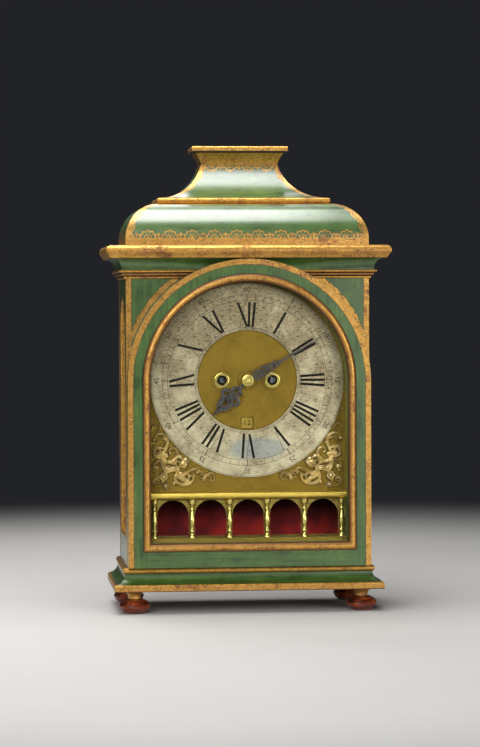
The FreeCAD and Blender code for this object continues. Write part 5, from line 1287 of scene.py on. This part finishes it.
class CLOCK_OT_cast_spandrels(bpy.types.Operator):
    """Model the cast acanthus scrolls and rosettes in the lower corners of the dial"""
    bl_idname = "clock.cast_spandrels"
    bl_label = "Cast Spandrels"

    def execute(self, context):
        # Places are (x, z) from the dial's centre in millimetres, then the width and the number of ribs
        fronds = (
            ([(95.0, -47.0), (94.0, -44.4), (91.6, -43.4), (88.6, -44.4), (87.0, -47.0), (87.6, -49.8),
              (89.4, -49.6)], 2.2, 2),
            ([(84.4, -73.0), (81.4, -66.0), (79.8, -60.0), (82.0, -55.0), (86.7, -52.6), (91.4, -54.2),
              (93.2, -58.4)], 4.4, 3),
            ([(81.0, -59.0), (84.6, -57.4), (88.4, -58.2), (89.8, -61.0)], 2.6, 2),
            ([(86.4, -71.0), (88.6, -67.0), (91.6, -65.2), (94.0, -66.8), (93.6, -69.6)], 2.6, 2),
            ([(85.4, -76.0), (80.5, -80.4), (75.4, -80.2), (71.2, -76.6), (70.0, -71.6), (72.4, -67.4),
              (76.0, -66.8), (78.2, -69.4), (77.0, -72.0)], 4.4, 3),
            ([(81.0, -91.0), (84.2, -84.0), (85.6, -77.0), (84.4, -71.0)], 5.4, 3),
            ([(82.0, -91.0), (75.0, -87.6), (69.4, -89.6), (65.0, -94.4)], 5.4, 3),
            ([(70.4, -91.0), (73.0, -96.6), (70.0, -101.6), (63.4, -103.6), (57.4, -102.2), (54.2, -98.0),
              (55.6, -94.4), (58.6, -94.8)], 4.0, 3),
            ([(67.0, -92.0), (62.0, -91.2), (56.2, -88.6), (51.0, -87.6), (46.8, -90.8), (43.6, -95.6)],
             3.6, 3),
            ([(43.4, -97.4), (40.6, -93.6), (37.2, -92.0), (34.0, -93.6), (33.2, -97.2), (35.0, -99.8),
              (37.0, -98.6)], 2.6, 2),
            ([(87.6, -79.0), (91.8, -81.4), (94.0, -85.6), (91.6, -88.4)], 2.6, 2),
            (volute((88.0, -72.5), 7.2, 150.0, -480.0), 3.0, 2),
            (volute((68.8, -82.0), 7.4, 20.0, 450.0), 3.0, 2),
            (volute((60.0, -96.0), 7.2, 150.0, 440.0), 3.0, 2),
            (volute((89.5, -99.5), 5.0, 200.0, -420.0), 2.4, 2),
            (volute((46.0, -94.5), 4.6, 60.0, 420.0), 2.2, 2),
            ([(88.4, -99.0), (92.6, -97.4), (94.4, -101.0), (92.0, -104.4)], 2.4, 2),
        )
        parts = []
        for points, width, ribs in fronds:
            parts += fluted(points, width, ribs)
        model = leaf_model()
        parts += leaves(model, (
            (69.6, -85.3, 155.0, 13.0, 1.0), (67.4, -78.6, 195.0, 11.0, -1.0),
            (70.3, -91.7, 100.0, 7.0, 1.0), (70.3, -91.7, 200.0, 8.0, -1.0),
            (70.3, -91.7, 250.0, 7.5, 1.0), (71.0, -92.0, 300.0, 6.5, -1.0),
            (86.0, -77.0, 60.0, 8.0, 1.0), (86.0, -76.0, 20.0, 7.5, -1.0),
            (85.0, -76.0, 160.0, 8.0, -1.0), (85.0, -78.0, 215.0, 7.5, 1.0),
            (64.6, -95.6, 330.0, 6.0, 1.0), (64.6, -95.6, 240.0, 6.5, -1.0),
            (65.0, -95.0, 290.0, 6.5, 1.0), (44.2, -95.0, 252.0, 7.0, 1.0),
            (50.0, -88.6, 275.0, 6.0, -1.0), (81.4, -63.0, 155.0, 5.5, 1.0),
            (74.0, -79.6, 250.0, 6.0, 1.0), (77.6, -84.0, 110.0, 6.0, 1.0),
            (60.5, -102.8, 95.0, 6.5, 1.0), (38.8, -93.0, 265.0, 4.5, 1.0),
            (83.5, -54.6, 265.0, 4.0, -1.0), (88.0, -88.0, 25.0, 7.0, 1.0),
            (76.0, -101.0, 205.0, 6.0, -1.0), (92.6, -92.6, 100.0, 5.0, 1.0),
        ))
        rosettes = (((83.6, -95.6), 5.4, 8), ((80.6, -87.0), 4.4, 6), ((81.6, -104.6), 4.0, 7))
        for place, radius, petals in rosettes:
            parts += flower(model, place, radius, petals)
        removed(model)
        parts.append(bead((67.6, -75.8), 2.2))
        parts.append(bead((69.6, -96.0), 1.5))
        casting = joined("spandrel_side", parts)
        place = Matrix.Translation((0.0, DIAL_FRONT - CASTING_LIFT, DIAL_LEVEL))
        right = copied(casting, place)
        left = copied(casting, place @ Matrix.Diagonal((-1.0, 1.0, 1.0, 1.0)))
        removed(casting)
        both = smooth(joined("spandrel_castings", [right, left]), 50.0)
        # Cast and chased brass: pale gold with a painted highlight on the crests, brown patina and
        # painted shade in the hollows near the plate
        finish(both, "case", "brass",
               metal_finish("cast_brass", "#CFB98F", "#7C6340", 0.28, spot=1.6, share=0.5,
                            hollow=(1, DIAL_FRONT / MM - 2.8, DIAL_FRONT / MM - 1.5, 0.0, 0.95),
                            relief=True),
               "dial_spandrels")
        return {"FINISHED"}


class CLOCK_OT_pierce_hands(bpy.types.Operator):
    """Cut and pierce the two hands, and turn the nut that holds them"""
    bl_idname = "clock.pierce_hands"
    bl_label = "Pierce Hands"

    def execute(self, context):
        dial = context.scene.clock_dial
        # One side of each hand from hub to tip, (x, z) in millimetres; a third value marks a corner
        hour_side = [
            (1.4, 5.2), (1.3, 9.6), (2.6, 11.4), (4.8, 12.6), (5.9, 15.4), (5.0, 18.2), (6.4, 19.2, 1),
            (9.2, 19.8), (11.0, 22.8), (10.4, 26.4), (7.8, 28.8), (6.4, 29.4, 1), (7.0, 32.0),
            (6.2, 35.2), (4.4, 37.2, 1), (5.4, 39.6, 1), (3.0, 39.8), (2.0, 42.0), (1.2, 45.5),
        ]
        hour_holes = [
            (0.0, 15.6, 2.4, 1.9, 0.0), (5.7, 23.8, 2.7, 2.0, -38.0), (-5.7, 23.8, 2.7, 2.0, 38.0),
            (0.0, 32.4, 2.3, 2.7, 0.0), (0.0, 20.4, 0.9, 1.1, 0.0), (0.0, 27.0, 0.9, 1.0, 0.0),
            (3.1, 28.2, 0.9, 1.3, -35.0), (-3.1, 28.2, 0.9, 1.3, 35.0), (3.3, 19.6, 0.9, 1.3, 35.0),
            (-3.3, 19.6, 0.9, 1.3, -35.0), (0.0, 37.4, 0.9, 1.2, 0.0),
        ]
        minute_side = [
            (1.3, 5.2), (1.5, 6.6), (3.6, 7.8), (5.4, 9.6), (5.6, 12.2), (3.9, 14.0), (3.4, 15.0, 1),
            (4.8, 16.4), (5.2, 19.0), (3.8, 21.4), (3.0, 22.2, 1), (4.4, 23.4), (4.6, 26.0), (3.2, 28.4),
            (2.6, 29.2, 1), (3.6, 30.6), (3.5, 33.2), (2.0, 35.8), (1.7, 37.0), (1.2, 40.0), (0.95, 48.0),
            (0.75, 64.0), (0.45, 76.0),
        ]
        minute_holes = [
            (2.9, 10.6, 1.5, 1.3, 25.0), (-2.9, 10.6, 1.5, 1.3, -25.0), (0.0, 13.4, 0.8, 1.7, 0.0),
            (2.6, 18.4, 1.2, 1.5, -15.0), (-2.6, 18.4, 1.2, 1.5, 15.0), (0.0, 20.6, 0.7, 1.4, 0.0),
            (2.2, 25.4, 1.0, 1.4, -15.0), (-2.2, 25.4, 1.0, 1.4, 15.0), (0.0, 27.6, 0.6, 1.3, 0.0),
            (1.5, 32.4, 0.7, 1.2, -15.0), (-1.5, 32.4, 0.7, 1.2, 15.0),
        ]
        # Old blued steel: dark grey, with a soft sheen and nearly black spots
        steel = metal_finish("blued_steel", "#545052", "#1E1A1C", 0.34, spot=2.0, share=0.7)
        for name, body, side, tip, holes, angle in (
            ("hour_hand", "hour_pipe", hour_side, 50.0, hour_holes, dial.hour_angle),
            ("minute_hand", "minute_arbor", minute_side, 80.0, minute_holes, dial.minute_angle),
        ):
            low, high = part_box(name)
            mirrored = [(-place[0], *place[1:]) for place in reversed(side)]
            outline = spline_outline(side + [(0.0, tip, 1)] + mirrored)
            blade = flat_plate(outline, HAND_THICKNESS)
            pierced(blade, holes, HAND_THICKNESS)
            hub_line = spline_outline([(HUB_RADIUS_MM * math.sin(math.pi * k / 8),
                                        HUB_RADIUS_MM * math.cos(math.pi * k / 8))
                                       for k in range(16)], 3)
            hub = flat_plate(hub_line, HAND_THICKNESS)
            shaped(blade, "BOOLEAN", operation="UNION", object=hub, solver="EXACT")
            removed(hub)
            tidy_mesh(blade)
            shaped(blade, "BEVEL", width=0.00015, segments=1, limit_method="ANGLE")
            hand = copied(blade, on_dial(angle, (low.y + high.y) / 2))
            removed(blade)
            hand.name = "pierced_" + name
            finish(smooth(hand, 30.0), body, "blued_steel", steel, name)
        low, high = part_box("hand_nut")
        radius = (high.x - low.x) / 2 / MM
        rise = (high.y - low.y) / MM
        upright = Matrix.Translation((0.0, high.y, DIAL_LEVEL)) @ Matrix.Rotation(math.pi / 2, 4, "X")
        dome = turned([(0.0, 0.0), (radius, 0.0), (radius, rise * 0.3), (radius * 0.92, rise * 0.42),
                       (radius * 0.8, rise * 0.42), (radius * 0.66, rise * 0.6),
                       (radius * 0.4, rise * 0.74), (0.0, rise * 0.8)], 32)
        parts = [copied(dome, upright)]
        removed(dome)
        boss = bead((0.0, 0.0), radius * 0.2)
        for index in range(8):
            way = math.radians(45.0 * index + 20.0)
            spot = Vector((math.cos(way), 0.0, math.sin(way))) * radius * 0.52 * MM
            spot += Vector((0.0, high.y - rise * 0.66 * MM, DIAL_LEVEL))
            parts.append(copied(boss, Matrix.Translation(spot)))
        parts.append(copied(boss, Matrix.Translation((0.0, low.y + radius * 0.2 * MM, DIAL_LEVEL))))
        removed(boss)
        # Turned and beaded brass: bright on the beads, brown between them
        finish(smooth(joined("turned_hand_nut", parts)), "minute_arbor", "brass",
               metal_finish("nut_brass", "#E2C978", "#6A5425", 0.3, spot=1.2, share=0.7), "hand_nut")
        return {"FINISHED"}


class CLOCK_OT_dress_gallery(bpy.types.Operator):
    """Finish the brass gallery under the dial and the red stage behind it"""
    bl_idname = "clock.dress_gallery"
    bl_label = "Dress Gallery"

    def execute(self, context):
        sill_darkening = (2, 85.0, 95.0, 0.75, 0.0)
        arcade_darkening = (2, 74.0, 80.0, 0.7, 0.0)
        # Drawn brass rails: fine lines along them, a bright ledge and a darker sill
        dress(metal_finish("rolled_brass", "#D0AF54", "#7C662C", 0.36, spot=4.0, share=0.5,
                           brushed=(0.05, 1.0, 1.0), hollow=sill_darkening), "gallery_rails")
        # Punched brass plate: olive and dull, darker towards the springing of its arches
        dress(metal_finish("olive_brass", "#88753C", "#584A24", 0.44, spot=4.0, share=0.5, punch=0.8,
                           hollow=arcade_darkening), "gallery_arcade")
        dress(lining("red_lining"), "stage_lining")
        return {"FINISHED"}


class CLOCK_OT_turn_balusters(bpy.types.Operator):
    """Turn the vase balusters that stand before the arcade"""
    bl_idname = "clock.turn_balusters"
    bl_label = "Turn Balusters"

    def execute(self, context):
        low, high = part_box("gallery_balusters")
        tall = (high.z - low.z) / MM
        wide = (high.y - low.y) / 2 / MM
        # The profile from foot to head: radius and height as shares of the baluster's own
        shape = (
            (0.0, 0.0), (1.0, 0.0), (1.0, 0.05), (0.8, 0.07), (0.62, 0.1), (0.62, 0.13), (0.86, 0.16),
            (0.9, 0.185), (0.8, 0.21), (0.5, 0.235), (0.46, 0.26), (0.66, 0.32), (0.9, 0.4), (0.94, 0.45),
            (0.84, 0.52), (0.62, 0.6), (0.46, 0.68), (0.44, 0.71), (0.72, 0.73), (0.76, 0.755),
            (0.66, 0.775), (0.44, 0.79), (0.5, 0.84), (0.74, 0.87), (0.92, 0.9), (0.96, 0.93),
            (1.0, 0.95), (1.0, 1.0), (0.0, 1.0),
        )
        model = turned([(r * wide, z * tall) for r, z in shape], 20)
        reach = (high.x - low.x) / 2 - wide * MM
        made = []
        for index in range(6):
            x = -reach + reach * 2 * index / 5
            made.append(copied(model, Matrix.Translation((x, (low.y + high.y) / 2, low.z))))
        removed(model)
        # Turned brass: sharp highlights on every bead and collar
        finish(smooth(joined("turned_balusters", made), 50.0), "case", "brass",
               metal_finish("turned_baluster_brass", "#E6CD7A", "#7C642C", 0.26, spot=1.6, share=0.35),
               "gallery_balusters")
        return {"FINISHED"}


class CLOCK_OT_dress_movement(bpy.types.Operator):
    """Finish the movement, the bell and the hinges"""
    bl_idname = "clock.dress_movement"
    bl_label = "Dress Movement"

    def execute(self, context):
        # Brushed brass plates: an even yellow with upright brush lines
        dress(metal_finish("plate_brass", "#DAB659", "#9C7A37", 0.3, spot=5.0, share=0.4,
                           brushed=(1.0, 1.0, 0.05)), "movement_frame", "back_cock")
        # Cut and polished brass wheels: brighter, with small brown spots
        dress(metal_finish("wheel_brass", "#E5C464", "#9C7A37", 0.28, spot=2.0, share=0.35),
              "going_barrel", "strike_barrel", "centre_wheel", "minute_wheel", "hour_wheel",
              "third_wheel", "escape_wheel", "pin_wheel", "fly", "pendulum", "rear_door_knob")
        # Polished steel: cold grey, with faint brown stains
        dress(metal_finish("polished_steel", "#B0B0B2", "#665F5B", 0.25, spot=2.0, share=0.3),
              "cannon_pinion", "pallet_anchor", "strike_hammer")
        # Oiled steel squares: stained nearly black, with small bright glints
        dress(metal_finish("dark_steel", "#78787C", "#302C2A", 0.22, spot=1.0, share=0.6),
              "going_winding_arbor", "strike_winding_arbor")
        # Bell bronze: redder than brass, turned smooth
        dress(metal_finish("bell_metal", "#C69C56", "#78542C", 0.3, spot=3.0, share=0.4), "strike_bell")
        # Handled brass hinges: dull, with brown spots
        dress(metal_finish("hinge_brass", "#C5A652", "#715B24", 0.36, spot=2.0, share=0.6),
              "front_hinge_case_leaves", "front_hinge_door_leaves", "rear_hinge_case_leaves",
              "rear_hinge_door_leaves")
        return {"FINISHED"}


class CLOCK_OT_set_stage(bpy.types.Operator):
    """Set the floor, the lamps, the room and the camera"""
    bl_idname = "clock.set_stage"
    bl_label = "Set Stage"

    def execute(self, context):
        scene = context.scene
        settings = scene.clock_stage
        deselect()
        bpy.ops.mesh.primitive_plane_add(size=8.0)
        floor = bpy.context.object
        floor.name = "studio_floor"
        bpy.ops.object.mode_set(mode="EDIT")
        bpy.ops.mesh.subdivide(number_cuts=3)
        bpy.ops.object.mode_set(mode="OBJECT")
        # Matt painted floor: pale and faintly mottled. Far off it takes the room's tone, so no edge shows
        material, tree, shader, mm = new_finish("painted_floor")
        tone = grain(tree, mm, 90.0, detail=3.0)
        pale = list(settings.floor)
        shade = [c * 0.94 for c in pale[:3]] + [1.0]
        reach = add(tree, "VectorMath", mm, operation="LENGTH")
        far = add(tree, "MapRange", reach, *FLOOR_FADE_MM, **SOFT)
        plug(tree, add(tree, "Mix", tone, shade, pale, data_type="RGBA"), shader.inputs["Base Color"])
        shader.inputs["Roughness"].default_value = 0.8
        dusk = add(tree, "Emission", {"Color": list(settings.room), "Strength": 1.0})
        show(tree, add(tree, "MixShader", far, shader, dusk))
        floor.data.materials.append(material)
        # Each lamp: its power, width and depth, where it stands and what it faces
        for name, power, wide, deep, place, target in (
            ("key_lamp", settings.key, 1.4, 1.0, (-0.9, -1.9, 1.05), (0.0, 0.0, 0.22)),
            ("fill_lamp", settings.key * 0.5, 1.2, 0.8, (1.1, -2.0, 0.42), (0.0, 0.0, 0.2)),
            ("rear_lamp", settings.key * 0.4, 1.2, 0.9, (-0.35, 1.05, 1.45), (0.0, 0.0, 0.4)),
            ("top_lamp", settings.top, 0.6, 0.6, (-0.14, -0.14, 1.0), (-0.14, -0.139, 0.3)),
        ):
            deselect()
            bpy.ops.object.light_add(type="AREA", location=place)
            lamp = bpy.context.object
            lamp.name = name
            lamp.data.shape = "RECTANGLE"
            lamp.data.energy = power
            lamp.data.size = wide
            lamp.data.size_y = deep
            way = Vector(target) - Vector(place)
            lamp.rotation_euler = way.to_track_quat("-Z", "Y").to_euler()
        world = bpy.data.worlds.new("studio_room")
        scene.world = world
        world.use_nodes = True
        tree = world.node_tree
        tree.nodes.clear()
        room = add(tree, "Background", {"Color": list(settings.room), "Strength": 1.0})
        add(tree, "OutputWorld", {"Surface": room})
        scene.view_settings.view_transform = "Standard"
        bpy.ops.object.camera_add()
        camera = bpy.context.object
        camera.name = "photo_camera"
        turn, tilt, roll = (math.radians(angle) for angle in CAMERA_ANGLES)
        ahead = Vector((math.sin(turn) * math.cos(tilt), math.cos(turn) * math.cos(tilt),
                        -math.sin(tilt)))
        right = Vector((math.cos(turn), -math.sin(turn), 0.0))
        up = right.cross(ahead)
        level = right * math.cos(roll) - up * math.sin(roll)
        upright = right * math.sin(roll) + up * math.cos(roll)
        facing_clock = Matrix((level, upright, -ahead)).transposed().to_4x4()
        place = Vector(CAMERA_AIM) - ahead * CAMERA_DISTANCE
        camera.matrix_world = Matrix.Translation(place) @ facing_clock
        camera.data.sensor_fit = "VERTICAL"
        camera.data.sensor_height = SENSOR_HEIGHT
        camera.data.lens = FOCUS_PIXELS / PICTURE_PIXELS * SENSOR_HEIGHT
        camera.data.clip_end = 50.0
        scene.camera = camera
        return {"FINISHED"}


class CLOCK_PT_panel(bpy.types.Panel):
    """The clock's steps and the sizes and colours they use"""
    bl_label = "Bracket Clock"
    bl_idname = "CLOCK_PT_panel"
    bl_space_type = "VIEW_3D"
    bl_region_type = "UI"
    bl_category = "Clock"

    def draw(self, context):
        layout = self.layout
        scene = context.scene
        for settings in (scene.clock_finishes, scene.clock_dial, scene.clock_stage):
            box = layout.box()
            for name in settings.__annotations__:
                box.prop(settings, name)
        for step in STEPS:
            layout.operator(step.bl_idname)


SETTINGS = (ClockFinishes, ClockDial, ClockStage)
STEPS = (
    CLOCK_OT_set_stage, CLOCK_OT_paint_case, CLOCK_OT_gild_mouldings, CLOCK_OT_glaze,
    CLOCK_OT_dress_dial, CLOCK_OT_engrave_numerals, CLOCK_OT_engrave_minute_track,
    CLOCK_OT_rivet_ring, CLOCK_OT_number_date_ring, CLOCK_OT_cast_spandrels, CLOCK_OT_pierce_hands,
    CLOCK_OT_dress_gallery, CLOCK_OT_turn_balusters, CLOCK_OT_dress_movement,
)
CLASSES = SETTINGS + STEPS + (CLOCK_PT_panel,)


def register():
    for item in CLASSES:
        bpy.utils.register_class(item)
    bpy.types.Scene.clock_finishes = bpy.props.PointerProperty(type=ClockFinishes)
    bpy.types.Scene.clock_dial = bpy.props.PointerProperty(type=ClockDial)
    bpy.types.Scene.clock_stage = bpy.props.PointerProperty(type=ClockStage)


def unregister():
    del bpy.types.Scene.clock_stage
    del bpy.types.Scene.clock_dial
    del bpy.types.Scene.clock_finishes
    for item in reversed(CLASSES):
        bpy.utils.unregister_class(item)


def main():
    """Register the add-on and run its steps in order."""
    register()
    bpy.ops.clock.set_stage()
    bpy.ops.clock.paint_case()
    bpy.ops.clock.gild_mouldings()
    bpy.ops.clock.glaze()
    bpy.ops.clock.dress_dial()
    bpy.ops.clock.engrave_numerals()
    bpy.ops.clock.engrave_minute_track()
    bpy.ops.clock.rivet_ring()
    bpy.ops.clock.number_date_ring()
    bpy.ops.clock.cast_spandrels()
    bpy.ops.clock.pierce_hands()
    bpy.ops.clock.dress_gallery()
    bpy.ops.clock.turn_balusters()
    bpy.ops.clock.dress_movement()
    deselect()


if __name__ == "__main__":
    main()
